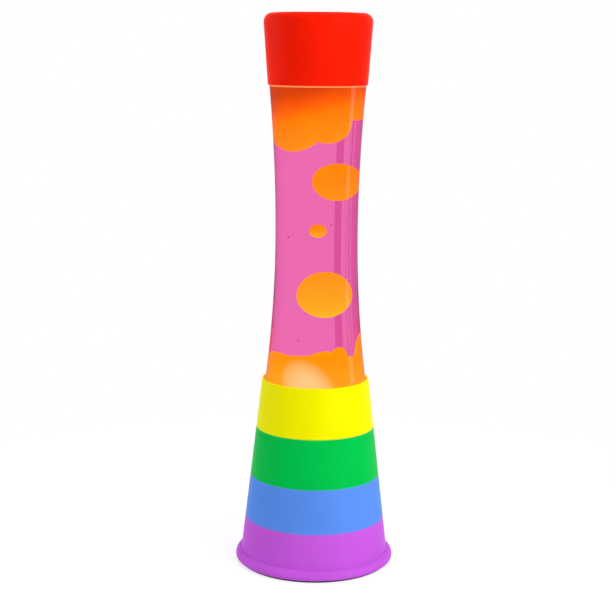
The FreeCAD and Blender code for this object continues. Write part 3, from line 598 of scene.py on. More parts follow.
def moulded(name, rgb, roughness):
    """Plastic, ceramic or rubber with a fine moulded grain."""
    stuff = Finish(name)
    stuff.to("Base Color", stuff.mottled(rgb, size=0.01, amount=0.07))
    stuff.to("Roughness", stuff.uneven(roughness - 0.06, roughness + 0.06, size=0.004))
    stuff.bump(size=0.0012, depth=0.00003, strength=0.4)
    return stuff.material


def see_through(name, rgb, bending):
    """Glass or liquid without haze, that tints the light which passes it."""
    stuff = Finish(name)
    stuff.set(Base_Color=tuple(rgb), Roughness=0.0, IOR=bending, Transmission_Weight=1.0)
    return stuff


def clear_glass():
    """Clear bottle glass, slightly uneven as blown glass is, that bends light as the filled bottle does."""
    glass = see_through("bottle_clear_glass", WHITE, FILLED_IOR)
    glass.bump(size=0.03, depth=0.00003, strength=0.15, detail=0.0)
    return glass.material


def wax_rise(wax, low, high, drift):
    """0 at the wax's foot and 1 at its top, wandering a little from place to place."""
    rise = wax.spread(wax.along("Z"), low, high, 0, 1)
    return wax.maths("ADD", rise, wax.uneven(-drift, drift, size=0.012, detail=1.0))


def wax_body(wax, tone, glow):
    """Give wax its tone, a painted glow in the same tone that stands in for the bulb's light through it, and
    a surface without shine, as it lies under the liquid.
    """
    wax.to("Base Color", tone)
    wax.to("Emission Color", tone)
    wax.set(Emission_Strength=glow, Specular_IOR_Level=0.0)
    wax.to("Roughness", wax.uneven(0.3, 0.4, size=0.006))
    wax.bump(size=0.005, depth=0.0001, strength=0.2, detail=1.0)
    return wax.material


def soft_wax(name, low, high, lower, upper, glow=0.85):
    """Wax with the bulb's light painted in: paler towards the bulb below, darker above, with a painted glow.
    """
    wax = Finish(name)
    tone = wax.ramp(wax_rise(wax, low, high, drift=0.06), (0.0, lower), (1.0, upper))
    return wax_body(wax, tone, glow)


def top_wax(colours):
    """Wax under the cap with painted light and shade: painted shade at the top and towards the left, painted
    light of the bulb below, and a painted highlight along the cap's edge.
    """
    wax = Finish("top_wax")
    mouth = lowest("cap_shell")
    # Painted shade: darker towards the left, lighter towards the right
    aside = wax.spread(wax.along("X"), -0.03, 0.03, 0.08, -0.24)
    depth = wax.maths("ADD", wax_rise(wax, lowest("wax_top"), mouth, drift=0.025), aside)
    painted_half_shade = Vector(colours.wax_warm).lerp(Vector(colours.wax_painted_shade), 0.62)
    tone = wax.ramp(depth, (0.0, colours.wax_mild), (0.5, colours.wax_warm), (0.67, painted_half_shade),
                    (0.9, colours.wax_painted_shade))
    # Painted highlight: a bright line just under the cap's edge
    below = wax.spread(wax.along("Z"), mouth - 0.0011, mouth - 0.0008, 0, 1)
    above = wax.spread(wax.along("Z"), mouth, mouth + 0.001, 1, 0)
    line = wax.maths("MULTIPLY", below, above)
    return wax_body(wax, wax.mix(line, tone, colours.wax_painted_highlight), glow=0.85)


def pool_wax(colours, low, high):
    """Wax over the bulb, with the bulb's light painted in: paler down at the floor, a painted pale dome in
    front and behind where the bulb shines through, and a painted glow.
    """
    wax = Finish("pool_wax")
    tone = wax.ramp(wax_rise(wax, low, high, drift=0.06), (0.0, colours.pool_low), (0.9, colours.pool_high))
    dome = None
    for axis, middle, half in DOME:
        along = wax.along(axis)
        if axis == "X":
            along = wax.maths("ADD", along, wax.spread(wax.along("Z"), DOME_FOOT, DOME_TOP, 0.0, DOME_LEAN))
        if axis == "Y":
            along = wax.maths("ABSOLUTE", along, 0)
        offset = wax.maths("DIVIDE", wax.maths("SUBTRACT", along, middle), half)
        square = wax.maths("MULTIPLY", offset, offset)
        dome = wax.maths("ADD", dome, square) if dome else square
    pale = wax.spread(dome, 0.15, 1.05, 1.0, 0.0)
    return wax_body(wax, wax.mix(pale, tone, colours.pool_painted_glow), glow=1.5)


def bulb_finish(colours):
    """A silvered flare with a frosted face that glows warm."""
    bulb = Finish("bulb_glass")
    rise = bulb.spread(bulb.along("Z"), lowest("bulb_envelope"), highest("bulb_envelope"), 0, 1)
    frosted = bulb.ramp(rise, (0.80, BLACK), (0.86, WHITE))
    bulb.to("Base Color", bulb.mix(frosted, colours.silver, colours.frost))
    bulb.to("Metallic", bulb.maths("SUBTRACT", 1.0, frosted))
    bulb.to("Roughness", bulb.spread(frosted, 0, 1, 0.12, 0.6))
    bulb.to("Emission Color", bulb.mix(frosted, BLACK, colours.lamplight))
    bulb.set(Emission_Strength=0.8)
    bulb.bump(size=0.0012, depth=0.00002, strength=0.3)
    return bulb.material


class LAMP_OT_base(bpy.types.Operator):
    """Turn the painted sheet cone of the base, with its rim, bead and flange"""

    bl_idname = "lamp.base"
    bl_label = "Base"
    bl_options = {"REGISTER", "UNDO"}

    def execute(self, context):
        scene = context.scene
        sizes = scene.lamp_base
        low = lowest("base_shell")
        high = highest("base_shell")
        foot = reach("base_shell")
        bead_r = foot - sizes.bead_round
        bead_z = low + sizes.bead_rise
        bead_end = math.asin(-sizes.bead_rise / sizes.bead_round)
        crease_angle = math.acos((sizes.bead_round - sizes.bead_proud) / sizes.bead_round)
        crease_r = foot - sizes.bead_proud
        crease_z = bead_z + sizes.bead_round * math.sin(crease_angle)
        lean = math.atan2(crease_r - sizes.rim_radius, high - crease_z)
        rim_r = sizes.rim_radius - sizes.rim_round * math.tan(math.pi / 4 - lean / 2)
        wall_r = sizes.wall / math.cos(lean)
        under = high - sizes.wall
        inner_bead = sizes.bead_round - sizes.wall
        inner_end = math.asin((sizes.wall - sizes.bead_rise) / inner_bead)
        flange_r = foot - sizes.flange
        lip = sizes.lip_round
        cone = Section().start(sizes.rim_opening, under)
        cone.arc(sizes.rim_opening + lip, high - lip, lip, math.pi, QUARTER, steps=4)
        cone.arc(rim_r, high - sizes.rim_round, sizes.rim_round, QUARTER, lean)
        cone.arc(bead_r, bead_z, sizes.bead_round, crease_angle, bead_end, steps=16)
        cone.line(flange_r, low)
        cone.line(flange_r, low + sizes.wall)
        cone.arc(bead_r, bead_z, inner_bead, inner_end, QUARTER, steps=12)
        cone.line(crease_r - wall_r, bead_z + inner_bead)
        cone.line(sizes.rim_radius + sizes.wall * math.tan(lean) - wall_r, under)
        cone.line(sizes.rim_opening, under)
        mesh = cone.turned(OUTLINE_STEPS)
        self.open_cord_hole(mesh, sizes.cord_hole)
        paint = band_paint(sizes, scene.lamp_colours)
        finished(mesh, "base_cone", "base", "base_paint", paint, "base_shell")
        return {"FINISHED"}

    def open_cord_hole(self, mesh, half):
        """A hole through the rear wall, hidden under the bushing's flange."""
        low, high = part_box("cord_bushing")
        middle = (low.z + high.z) / 2
        for place, normal in (((0, 0, middle - half), UP), ((0, 0, middle + half), UP),
                              ((-half, 0, 0), ASIDE), ((half, 0, 0), ASIDE)):
            cut(mesh, place, normal, near=MERGE_DISTANCE)
        inside = []
        for face in mesh.faces:
            centre = face.calc_center_median()
            if centre.y > low.y and abs(centre.x) < half and abs(centre.z - middle) < half:
                inside.append(face)
        bmesh.ops.delete(mesh, geom=inside, context="FACES")


class LAMP_OT_foot(bpy.types.Operator):
    """Make the rubber foot ring, finish the bottom cover and set its screws"""

    bl_idname = "lamp.foot"
    bl_label = "Foot"
    bl_options = {"REGISTER", "UNDO"}

    def execute(self, context):
        colours = context.scene.lamp_colours
        rubber = moulded("foot_rubber", colours.rubber, roughness=0.72)
        zinc = plated_sheet("cover_zinc", colours.zinc, roughness=0.34)
        finished(self.ring(), "rubber_foot", "base", "black_rubber", rubber, "foot_ring")
        dress(zinc, "bottom_cover")
        dress(rubber, "cord_bushing")
        cover = self.screws("cover_screws", count=3, first=math.radians(30))
        finished(cover, "cover_screw_heads", "base", "zinc_steel", zinc, "cover_screws")
        bracket = self.screws("bracket_screws", count=2, first=0.0)
        finished(bracket, "bracket_screw_heads", "base", "zinc_steel", zinc, "bracket_screws")
        return {"FINISHED"}

    def ring(self):
        low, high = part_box("foot_ring")
        outer = high.x
        inner = outer - RING_WIDTH
        edge_z = low.z + RING_EDGE
        ring = Section().start(inner, high.z)
        ring.arc(inner + RING_EDGE, edge_z, RING_EDGE, math.pi, math.pi * 1.5, steps=4)
        ring.arc(outer - RING_EDGE, edge_z, RING_EDGE, -QUARTER, 0, steps=4)
        return ring.line(outer, high.z).line(inner, high.z).turned()

    def screws(self, node, count, first):
        """Like screws round the axis, where the node's screws are, from a first angle on."""
        low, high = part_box(node)
        place = high.x - SCREW_HEAD
        offset = (place, place * math.tan(first), 0)
        mesh = bmesh.new()
        part = bpy.data.meshes.new("screw")
        for i in range(count):
            screw = self.screw(low.z, high.z)
            turn = Matrix.Rotation(FULL_TURN * i / count, 3, "Z")
            bmesh.ops.translate(screw, verts=screw.verts, vec=offset)
            bmesh.ops.rotate(screw, verts=screw.verts, cent=CENTRE, matrix=turn)
            screw.to_mesh(part)
            screw.free()
            mesh.from_mesh(part)
        bpy.data.meshes.remove(part)
        return mesh

    def screw(self, low, high):
        """A pan head, turned down, with a round recess, and a grooved shank."""
        edge = SCREW_CROWN * 0.6
        neck = low + SCREW_CROWN
        body = Section().start(0, low + SCREW_CROWN / 2)
        body.line(SCREW_HEAD * 0.45, low + SCREW_CROWN / 2).line(SCREW_HEAD * 0.5, low)
        body.arc(SCREW_HEAD - edge, low + edge, edge, -QUARTER, 0, steps=4)
        body.line(SCREW_HEAD, neck).line(SCREW_SHANK, neck)
        while body.tip.co.z < high - SCREW_SHANK:
            body.line(SCREW_SHANK * 0.84, body.tip.co.z + SCREW_GROOVE)
            body.line(SCREW_SHANK, body.tip.co.z + SCREW_GROOVE)
        return body.line(SCREW_SHANK * 0.6, high).line(0, high).turned(SCREW_STEPS)


class LAMP_OT_holder(bpy.types.Operator):
    """Finish the carrier that the bottle stands on, and the lampholder with its bracket"""

    bl_idname = "lamp.holder"
    bl_label = "Carrier and lampholder"
    bl_options = {"REGISTER", "UNDO"}

    def execute(self, context):
        colours = context.scene.lamp_colours
        dress(plated_sheet("carrier_zinc", colours.zinc, 0.3, grain=(6, 6, 1)), "globe_carrier")
        dress(plated_sheet("bracket_zinc", colours.zinc, 0.36), "lampholder_bracket", "lampholder_nut")
        dress(moulded("holder_ivory", colours.ivory, 0.5), "lampholder_body")
        brass = plated_sheet("contact_brass", colours.brass, 0.22)
        dress(brass, "lampholder_screw_shell", "lampholder_contact")
        return {"FINISHED"}


class LAMP_OT_bulb(bpy.types.Operator):
    """Turn the reflector bulb and sweep the thread of its screw cap"""

    bl_idname = "lamp.bulb"
    bl_label = "Bulb"
    bl_options = {"REGISTER", "UNDO"}

    def execute(self, context):
        sizes = context.scene.lamp_bulb
        colours = context.scene.lamp_colours
        glass = bulb_finish(colours)
        metal = plated_sheet("screw_cap_aluminium", colours.aluminium, 0.2, grain=(6, 6, 1))
        finished(self.envelope(sizes), "bulb_glass_shell", "bulb", "bulb_glass", glass, "bulb_envelope")
        finished(self.thread(sizes), "bulb_threaded_cap", "bulb", "bulb_metal", metal, "bulb_screw_cap")
        dress(moulded("insulator_black", colours.insulator, 0.2), "bulb_insulator")
        dress(plated_sheet("tip_solder", colours.zinc, 0.3), "bulb_contact")
        dress(moulded("stem_glass", colours.stem, 0.15), "bulb_stem")
        dress(plated_sheet("filament_wire", colours.zinc, 0.3), "bulb_filament")
        return {"FINISHED"}

    def envelope(self, sizes):
        """The bulb's glass, with an outer and an inner skin."""
        low = lowest("bulb_envelope")
        high = highest("bulb_envelope")
        wide = reach("bulb_envelope")
        edge_z = high - sizes.face_rise
        band_z = edge_z - sizes.wide
        neck_top = band_z - sizes.flare
        dome = (wide**2 + sizes.face_rise**2) / (2 * sizes.face_rise)
        corner = math.acos(wide / dome)
        shape = Section()
        for inset in (0.0, sizes.glass):
            neck = sizes.neck_radius - inset
            shape.start(0, low + inset).line(neck, low + inset).line(neck, neck_top)
            shape.arc(neck + FLARE_BEND, neck_top, FLARE_BEND, math.pi, math.pi - FLARE_SWING)
            shape.line(wide - inset, band_z).line(wide - inset, edge_z)
            shape.arc(0, high - dome, dome - inset, corner, QUARTER, steps=16)
        return shape.turned(PLAIN_STEPS)

    def thread(self, sizes):
        """A sleeve with a round thread, swept up a helix and cut level at both ends."""
        low = lowest("bulb_screw_cap")
        high = highest("bulb_screw_cap")
        root = reach("bulb_screw_cap") - sizes.thread_depth
        pitch = sizes.thread_pitch
        turns = math.ceil((high - low) / pitch) + 2
        start_z = low - pitch
        outline = Section().start(root, start_z)
        for i in range(1, THREAD_POINTS * 2 + 1):
            lift = 0.5 - 0.5 * math.cos(FULL_TURN * i / THREAD_POINTS)
            outline.line(root + sizes.thread_depth * lift, start_z + pitch * i / THREAD_POINTS)
        mesh = outline.mesh
        steps = THREAD_STEPS * turns
        bmesh.ops.spin(mesh, geom=mesh.verts[:] + mesh.edges[:], cent=CENTRE, axis=UP,
                       angle=FULL_TURN * turns, steps=steps, dvec=(0, 0, pitch * turns / steps))
        bmesh.ops.remove_doubles(mesh, verts=mesh.verts, dist=THREAD_MERGE)
        cut(mesh, (0, 0, low), -UP, clear=True)
        cut(mesh, (0, 0, high), UP, clear=True)
        bmesh.ops.recalc_face_normals(mesh, faces=mesh.faces)
        bmesh.ops.solidify(mesh, geom=mesh.faces[:], thickness=sizes.thread_wall)
        return mesh


def bottle_section(shape, sizes, inset, top):
    """Draw the bottle's outline moved in by inset, from the axis over the punt up to a height."""
    seat = lowest("glass_bottle")
    waist_z = sizes.rim_height + sizes.waist_rise
    lower_step = sizes.rim_radius - sizes.waist_radius
    upper_step = sizes.shoulder_radius - sizes.waist_radius
    lower = (sizes.waist_rise**2 + lower_step**2) / (2 * lower_step)
    upper = (sizes.shoulder_rise**2 + upper_step**2) / (2 * upper_step)
    punt = (sizes.punt_radius**2 + sizes.punt_rise**2) / (2 * sizes.punt_rise) + inset
    lower_lean = math.asin(sizes.waist_rise / lower)
    upper_lean = math.asin(sizes.shoulder_rise / upper)
    punt_z = seat + sizes.punt_rise + inset - punt
    punt_end = math.asin((seat + inset - punt_z) / punt)
    belly_r = sizes.rim_radius - sizes.belly_round * math.cos(lower_lean)
    belly_z = sizes.rim_height - sizes.belly_round * math.sin(lower_lean)
    heel_r = belly_r + sizes.belly_round - sizes.heel_round
    blend_r = sizes.shoulder_radius - sizes.blend_round * math.cos(upper_lean)
    blend_z = waist_z + sizes.shoulder_rise + sizes.blend_round * math.sin(upper_lean)
    round_r = blend_r + sizes.blend_round - sizes.shoulder_round
    round_z = blend_z + sizes.shoulder_land
    sweep = sizes.shoulder_sweep
    joined = sizes.shoulder_round + sizes.neck_fillet
    fillet_r = sizes.neck_radius + sizes.neck_fillet
    run = (round_r - fillet_r) / math.sin(sweep) + joined / math.tan(sweep)
    fillet_z = round_z + run * math.cos(sweep) + joined * math.sin(sweep)
    shape.start(0, punt_z + punt)
    shape.arc(0, punt_z, punt, QUARTER, punt_end, steps=12)
    shape.arc(heel_r, seat + sizes.heel_round, sizes.heel_round - inset, -QUARTER, 0, steps=12)
    shape.arc(belly_r, belly_z, sizes.belly_round - inset, 0, lower_lean, steps=4)
    shape.arc(sizes.waist_radius + lower, waist_z, lower + inset, math.pi + lower_lean, math.pi, steps=20)
    shape.arc(sizes.waist_radius + upper, waist_z, upper + inset, math.pi, math.pi - upper_lean, steps=20)
    shape.arc(blend_r, blend_z, sizes.blend_round - inset, -upper_lean, 0, steps=4)
    shape.arc(round_r, round_z, sizes.shoulder_round - inset, 0, sweep, steps=14)
    shape.arc(fillet_r, fillet_z, sizes.neck_fillet + inset, math.pi + sweep, math.pi, steps=10)
    return shape.line(sizes.neck_radius - inset, top)


class LAMP_OT_bottle(bpy.types.Operator):
    """Turn the hourglass bottle"""

    bl_idname = "lamp.bottle"
    bl_label = "Glass bottle"
    bl_options = {"REGISTER", "UNDO"}

    def execute(self, context):
        sizes = context.scene.lamp_bottle
        top = highest("glass_bottle")
        lip_low = top - sizes.lip_height
        step = sizes.lip_radius - sizes.neck_radius
        lip = sizes.lip_round
        shape = bottle_section(Section(), sizes, 0.0, lip_low - step)
        shape.line(sizes.lip_radius, lip_low)
        shape.arc(sizes.lip_radius - lip, top - lip, lip, 0, QUARTER, steps=4)
        shape.line(sizes.neck_radius - sizes.wall, top)
        bottle_section(shape, sizes, sizes.wall, top)
        mesh = shape.turned()
        self.wet(mesh, sizes)
        bottle = finished(mesh, "bottle", "globe", "clear_glass", clear_glass(), "glass_bottle")
        bottle.data.materials.append(see_through("bottle_wet_glass", WHITE, STRAIGHT_IOR).material)
        return {"FINISHED"}

    def wet(self, mesh, sizes):
        """Give the inner faces that the liquid touches the second finish."""
        heart = Vector((0, 0, sizes.rim_height + sizes.waist_rise))
        level = fill_level()
        for face in mesh.faces:
            centre = face.calc_center_median()
            if face.normal.dot(heart - centre) > 0 and centre.z < level:
                face.material_index = 1


class LAMP_OT_crown(bpy.types.Operator):
    """Press the fluted crown that seals the bottle, and finish its liner"""

    bl_idname = "lamp.crown"
    bl_label = "Crown"
    bl_options = {"REGISTER", "UNDO"}

    def execute(self, context):
        sizes = context.scene.lamp_crown
        colours = context.scene.lamp_colours
        tin = plated_sheet("crown_tinplate", colours.tinplate, 0.24)
        finished(self.fluted(sizes), "crown", "globe", "crown_steel", tin, "crown_cap")
        dress(moulded("liner_white", colours.liner, 0.5), "crown_liner")
        return {"FINISHED"}

    def fluted(self, sizes):
        top = highest("crown_cap")
        skirt = reach("crown_cap")
        upper = sizes.grip_radius + sizes.sheet * 2
        bend = sizes.corner
        bend_z = top - bend
        flare = skirt - upper
        fall = sizes.height - bend
        crown = Section().start(0, top)
        crown.arc(upper - bend, bend_z, bend, QUARTER, 0)
        for i in range(1, SKIRT_ROWS + 1):
            crown.line(upper + flare * i / SKIRT_ROWS, bend_z - fall * i / SKIRT_ROWS)
        for i in range(SKIRT_ROWS, -1, -1):
            crown.line(upper - sizes.sheet + flare * i / SKIRT_ROWS, bend_z - fall * i / SKIRT_ROWS)
        crown.arc(upper - bend, bend_z, bend - sizes.sheet, 0, QUARTER)
        crown.line(0, top - sizes.sheet)
        mesh = crown.turned(sizes.flutes * FLUTE_STEPS)
        for vertex in mesh.verts:
            drop = (bend_z - vertex.co.z) / fall
            if drop > 0:
                around = math.atan2(vertex.co.y, vertex.co.x)
                inward = sizes.flute_depth * drop * (0.5 - 0.5 * math.cos(sizes.flutes * around))
                vertex.co.xy *= 1 - inward / vertex.co.xy.length
        bmesh.ops.recalc_face_normals(mesh, faces=mesh.faces)
        return mesh


def melted(mesh, name, voxel):
    """One soft skin over the shapes in the mesh."""
    rough = as_object(mesh, name)
    skin = rough.modifiers.new("skin", "REMESH")
    skin.mode = "VOXEL"
    skin.voxel_size = voxel
    soften = rough.modifiers.new("soften", "SMOOTH")
    soften.factor = 0.5
    soften.iterations = SOFTEN_ROUNDS
    ready = rough.evaluated_get(bpy.context.evaluated_depsgraph_get())
    soft = bmesh.new()
    soft.from_mesh(ready.to_mesh())
    data = rough.data
    bpy.data.objects.remove(rough)
    bpy.data.meshes.remove(data)
    return soft


def blob(mesh, centre, across, upright, lean=0.0):
    """Add a round lump of wax: an icosphere drawn out to its half sizes, fuller at the lower end by lean."""
    made = bmesh.ops.create_icosphere(mesh, subdivisions=5, radius=1.0)["verts"]
    for vertex in made:
        vertex.co.xy *= 1 - lean * vertex.co.z * (1 - vertex.co.z**2)
    bmesh.ops.scale(mesh, verts=made, vec=(across, across, upright))
    bmesh.ops.translate(mesh, verts=made, vec=centre)


class LAMP_OT_liquid(bpy.types.Operator):
    """Fill the bottle with clear pink liquid, and finish the heating coil on its floor"""

    bl_idname = "lamp.liquid"
    bl_label = "Liquid"
    bl_options = {"REGISTER", "UNDO"}

    def execute(self, context):
        sizes = context.scene.lamp_bottle
        colours = context.scene.lamp_colours
        inset = sizes.wall - sizes.overlap
        filling = bottle_section(Section(), sizes, inset, highest("glass_bottle")).turned()
        cut(filling, (0, 0, fill_level()), UP, clear=True)
        close_rim(filling)
        bmesh.ops.recalc_face_normals(filling, faces=filling.faces)
        pink = see_through("pink_liquid", colours.liquid, STRAIGHT_IOR).material
        finished(filling, "liquid_fill", "globe", "pink_liquid", pink, "liquid")
        dress(plated_sheet("coil_steel", colours.zinc, 0.25), "heat_coil")
        return {"FINISHED"}


class LAMP_OT_wax(bpy.types.Operator):
    """Shape the wax: the pool, the mass under the cap, the floating blobs and stray beads"""

    bl_idname = "lamp.wax"
    bl_label = "Wax"
    bl_options = {"REGISTER", "UNDO"}

    def execute(self, context):
        self.sizes = context.scene.lamp_wax
        self.colours = context.scene.lamp_colours
        self.bottle = context.scene.lamp_bottle
        self.pool()
        self.top()
        self.floating()
        self.beads()
        return {"FINISHED"}

    def filled(self, level, side):
        """The inside of the bottle on one side of a level, as a closed solid."""
        inset = self.bottle.wall + self.sizes.film
        solid = bottle_section(Section(), self.bottle, inset, highest("glass_bottle")).turned(PLAIN_STEPS)
        for height, normal in ((level, side), (fill_level() - self.sizes.cover, UP)):
            cut(solid, (0, 0, height), normal, clear=True)
            close_rim(solid)
        bmesh.ops.recalc_face_normals(solid, faces=solid.faces)
        return solid

    def lobed(self, wax, level, lobes):
        """The wax with lobes added to it, melted into one and brought against the wall."""
        for right, back, rise, across, upright, lean in lobes:
            blob(wax, (right, back, level + rise), across, upright, lean)
        return self.against_wall(melted(wax, "rough_wax", self.sizes.voxel))

    def against_wall(self, mesh):
        """Bring wax that stands out through the hourglass wall, or just short of it, against the wall."""
        sizes = self.bottle
        waist_z = sizes.rim_height + sizes.waist_rise
        top_z = waist_z + sizes.shoulder_rise
        bottom_z = sizes.rim_height
        waist = sizes.waist_radius - sizes.wall - self.sizes.film
        lower = (sizes.rim_radius - sizes.waist_radius) / sizes.waist_rise**2
        upper = (sizes.shoulder_radius - sizes.waist_radius) / sizes.shoulder_rise**2
        cling = self.sizes.cling
        for vertex in mesh.verts:
            rise = vertex.co.z - waist_z
            limit = waist + (lower if rise < 0 else upper) * rise**2
            radius = vertex.co.xy.length
            if radius > limit - cling and bottom_z < vertex.co.z < top_z:
                vertex.co.xy *= limit / radius
        return mesh

    def pool(self):
        """The wax on the floor, heaped a little towards the front, with a strand up the right wall."""
        level = self.sizes.pool_level
        front = self.sizes.pool_tilt
        wax = self.filled(level, Vector((0, math.sin(front), math.cos(front))))
        soft = self.lobed(wax, level, POOL_LOBES)
        material = pool_wax(self.colours, lowest("wax_pool"), level + POOL_CREST)
        finished(soft, "pool_of_wax", "globe", "orange_wax", material, "wax_pool")

    def top(self):
        """The wax under the cap, with two lobes that hang from it against the front wall."""
        level = self.sizes.top_level
        soft = self.lobed(self.filled(level, -UP), level, TOP_LOBES)
        finished(soft, "wax_under_cap", "globe", "orange_wax", top_wax(self.colours), "wax_top")

    def floating(self):
        """Blobs on bodies of their own, in the places of their nodes."""
        for name, node, body, across, upright, lean, lower, upper in FLOATING:
            low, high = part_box(node)
            radius = (high.x - low.x) / 2
            centre = (low + high) / 2 + UP * self.sizes.blob_lift
            mesh = bmesh.new()
            blob(mesh, centre, radius * across, radius * upright, lean)
            tones = getattr(self.colours, lower), getattr(self.colours, upper)
            finished(mesh, name, body, "orange_wax", soft_wax(name + "_wax", low.z, high.z, *tones), node)

    def beads(self):
        """Small stray beads that hang in the liquid."""
        mesh = bmesh.new()
        radius = self.sizes.bead_radius
        for place in BEAD_PLACES:
            blob(mesh, place, radius, radius * BEAD_FLATNESS)
        tone = self.colours.bead
        material = soft_wax("bead_wax", lowest("liquid"), highest("liquid"), tone, tone, glow=0.3)
        finished(mesh, "stray_beads", "globe", "orange_wax", material)


class LAMP_OT_cap(bpy.types.Operator):
    """Turn the loose painted cap over the bottle's neck"""

    bl_idname = "lamp.cap"
    bl_label = "Cap"
    bl_options = {"REGISTER", "UNDO"}

    def execute(self, context):
        sizes = context.scene.lamp_cap
        top = highest("cap_shell")
        mouth = lowest("cap_shell")
        wide = reach("cap_shell")
        corner_r = wide - sizes.corner
        corner_z = top - sizes.corner
        lean = math.atan2(wide - sizes.mouth_radius, corner_z - mouth)
        edge = sizes.edge_round
        inner_mouth = sizes.mouth_radius - sizes.wall
        shape = Section().start(0, top)
        shape.arc(corner_r, corner_z, sizes.corner, QUARTER, -lean, steps=16)
        shape.arc(sizes.mouth_radius - edge, mouth + edge, edge, 0, -QUARTER, steps=4)
        shape.arc(inner_mouth + edge, mouth + edge, edge, -QUARTER, -math.pi, steps=4)
        shape.arc(corner_r, corner_z, sizes.corner - sizes.wall, -lean, QUARTER, steps=16)
        mesh = shape.line(0, top - sizes.wall).turned(OUTLINE_STEPS)
        finished(mesh, "red_cap", "cap", "cap_paint", cap_paint(context.scene.lamp_colours), "cap_shell")
        return {"FINISHED"}


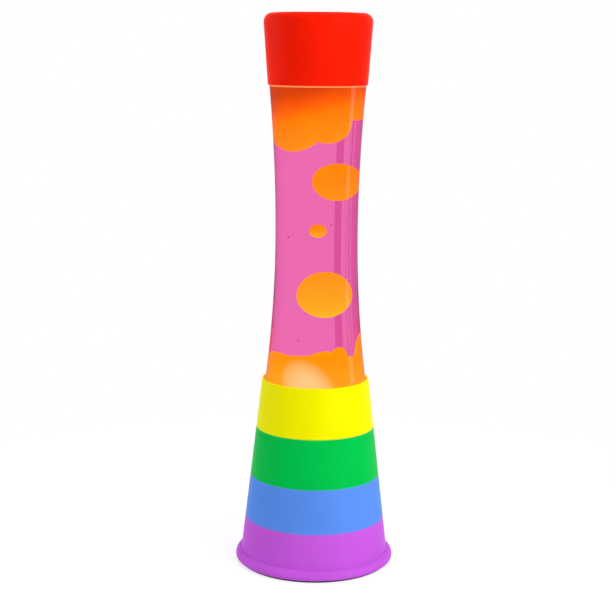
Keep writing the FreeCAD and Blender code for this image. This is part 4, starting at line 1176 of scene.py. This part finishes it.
class LAMP_OT_stage(bpy.types.Operator):
    """Set the floor, the white surround, the cards, the lights and the camera"""

    bl_idname = "lamp.stage"
    bl_label = "Stage"
    bl_options = {"REGISTER", "UNDO"}

    def execute(self, context):
        scene = context.scene
        self.settings = scene.lamp_stage
        scene.view_settings.view_transform = "Standard"
        self.floor()
        self.surround(scene)
        self.cards()
        self.lights(scene)
        self.camera(scene)
        return {"FINISHED"}

    def seen_white(self, tree):
        """1 for rays that the camera, a gloss or a glass sends, 0 for the light that falls on things."""
        path = tree.nodes.new("ShaderNodeLightPath")
        seen = path.outputs["Is Camera Ray"]
        for name in ("Is Glossy Ray", "Is Transmission Ray"):
            either = tree.nodes.new("ShaderNodeMath")
            either.operation = "MAXIMUM"
            tree.links.new(seen, either.inputs[0])
            tree.links.new(path.outputs[name], either.inputs[1])
            seen = either.outputs[0]
        return seen

    def floor(self):
        """A floor that is white to the camera but for the shadow close to the lamp."""
        settings = self.settings
        floor = Finish("pale_floor")
        floor.set(Base_Color=(0.9, 0.9, 0.9), Roughness=0.9, Specular_IOR_Level=0.0)
        away = floor.node("VectorMath", operation="LENGTH")
        floor.join(floor.place(), away.inputs[0])
        shade = floor.spread(away.outputs["Value"], reach("base_shell"), settings.floor_fade,
                             settings.floor_shade, 0.0)
        shadow = floor.node("BsdfDiffuse")
        floor.join(shade, shadow.inputs["Color"])
        white = floor.node("Emission")
        white.inputs["Color"].default_value = (*WHITE, 1)
        lit = floor.maths("MULTIPLY", shade, settings.floor_lit)
        floor.join(floor.maths("SUBTRACT", 1.0, lit), white.inputs["Strength"])
        seen = floor.node("AddShader")
        floor.join(shadow.outputs[0], seen.inputs[0])
        floor.join(white.outputs[0], seen.inputs[1])
        floor.surface(self.seen_white(floor.tree), floor.shader.outputs[0], seen.outputs[0])
        mesh = bmesh.new()
        bmesh.ops.create_circle(mesh, cap_ends=True, segments=FLOOR_SEGMENTS, radius=FLOOR_RADIUS)
        as_object(mesh, "floor", floor.material)

    def surround(self, scene):
        """A world that is white to look at and lights the lamp evenly from all round."""
        world = bpy.data.worlds.new("white_surround")
        scene.world = world
        world.use_nodes = True
        tree = world.node_tree
        room = tree.nodes["Background"]
        level = tree.nodes.new("ShaderNodeMapRange")
        level.inputs["To Min"].default_value = self.settings.room_light
        level.inputs["To Max"].default_value = 1.0
        tree.links.new(self.seen_white(tree), level.inputs["Value"])
        room.inputs["Color"].default_value = (*WHITE, 1)
        tree.links.new(level.outputs[0], room.inputs["Strength"])

    def cards(self):
        """Cards that only the sharp glass shows: some through it, as painted streaks in the liquid, and some
        mirrored
        in it, as painted reflections: darker edges and a bright strip."""
        for name, ray, first, last, strength, rgb in CARDS:
            card = Finish(name)
            card.tree.nodes.remove(card.shader)
            tint = card.node("Emission")
            tint.inputs["Color"].default_value = (*rgb, 1)
            tint.inputs["Strength"].default_value = strength
            path = card.node("LightPath")
            seen = card.maths("MULTIPLY", path.outputs[ray], path.outputs["Is Singular Ray"])
            card.surface(seen, card.node("BsdfTransparent").outputs[0], tint.outputs[0])
            as_object(self.card(first, last), name, card.material)

    def card(self, first, last):
        """An upright card bent round the lamp's axis from one angle to another."""
        settings = self.settings
        mesh = bmesh.new()
        foot = mesh.verts.new((0, settings.card_distance, settings.card_foot))
        turn = Matrix.Rotation(math.radians(first), 3, "Z")
        bmesh.ops.rotate(mesh, verts=[foot], cent=CENTRE, matrix=turn)
        bmesh.ops.spin(mesh, geom=[foot], cent=CENTRE, axis=UP, angle=math.radians(last - first),
                       steps=CARD_STEPS)
        raised = bmesh.ops.extrude_edge_only(mesh, edges=mesh.edges[:])["geom"]
        bmesh.ops.translate(mesh, verts=vertices_of(raised), vec=(0, 0, settings.card_height))
        return mesh

    def lights(self, scene):
        """Round soft lights that don't show through the liquid."""
        for name, place, size, power_setting in LIGHTS:
            data = bpy.data.lights.new(name, "AREA")
            data.shape = "DISK"
            data.size = size
            data.energy = getattr(self.settings, power_setting)
            light = bpy.data.objects.new(name, data)
            scene.collection.objects.link(light)
            light.location = place
            light.visible_transmission = False
            light.rotation_euler = (LIGHT_AIM - light.location).to_track_quat("-Z", "Y").to_euler()

    def camera(self, scene):
        settings = self.settings
        data = bpy.data.cameras.new("front_camera")
        data.lens = settings.camera_lens
        data.sensor_width = SENSOR_WIDTH
        camera = bpy.data.objects.new("front_camera", data)
        scene.collection.objects.link(camera)
        place = Vector((-settings.camera_aside, -settings.camera_distance, settings.camera_height))
        tilt = Matrix.Rotation(QUARTER - settings.camera_pitch, 4, "X")
        roll = Matrix.Rotation(settings.camera_roll, 4, "Z")
        camera.matrix_world = Matrix.Translation(place) @ tilt @ roll
        scene.camera = camera


STEPS = (LAMP_OT_base, LAMP_OT_foot, LAMP_OT_holder, LAMP_OT_bulb, LAMP_OT_bottle, LAMP_OT_crown,
         LAMP_OT_liquid, LAMP_OT_wax, LAMP_OT_cap, LAMP_OT_stage)


class LAMP_PT_panel(bpy.types.Panel):
    """The lamp's pieces, in the order in which they are made"""

    bl_idname = "LAMP_PT_panel"
    bl_label = "Liquid Motion Lamp"
    bl_space_type = "VIEW_3D"
    bl_region_type = "UI"
    bl_category = "Lamp"

    def draw(self, context):
        for step in STEPS:
            self.layout.operator(step.bl_idname)


CLASSES = (*GROUPS.values(), *STEPS, LAMP_PT_panel)


def register():
    for cls in CLASSES:
        bpy.utils.register_class(cls)
    for name, group in GROUPS.items():
        setattr(bpy.types.Scene, name, PointerProperty(type=group))


def unregister():
    for name in GROUPS:
        delattr(bpy.types.Scene, name)
    for cls in reversed(CLASSES):
        bpy.utils.unregister_class(cls)


def main():
    register()
    bpy.ops.lamp.base()
    bpy.ops.lamp.foot()
    bpy.ops.lamp.holder()
    bpy.ops.lamp.bulb()
    bpy.ops.lamp.bottle()
    bpy.ops.lamp.crown()
    bpy.ops.lamp.liquid()
    bpy.ops.lamp.wax()
    bpy.ops.lamp.cap()
    bpy.ops.lamp.stage()


if __name__ == "__main__":
    main()
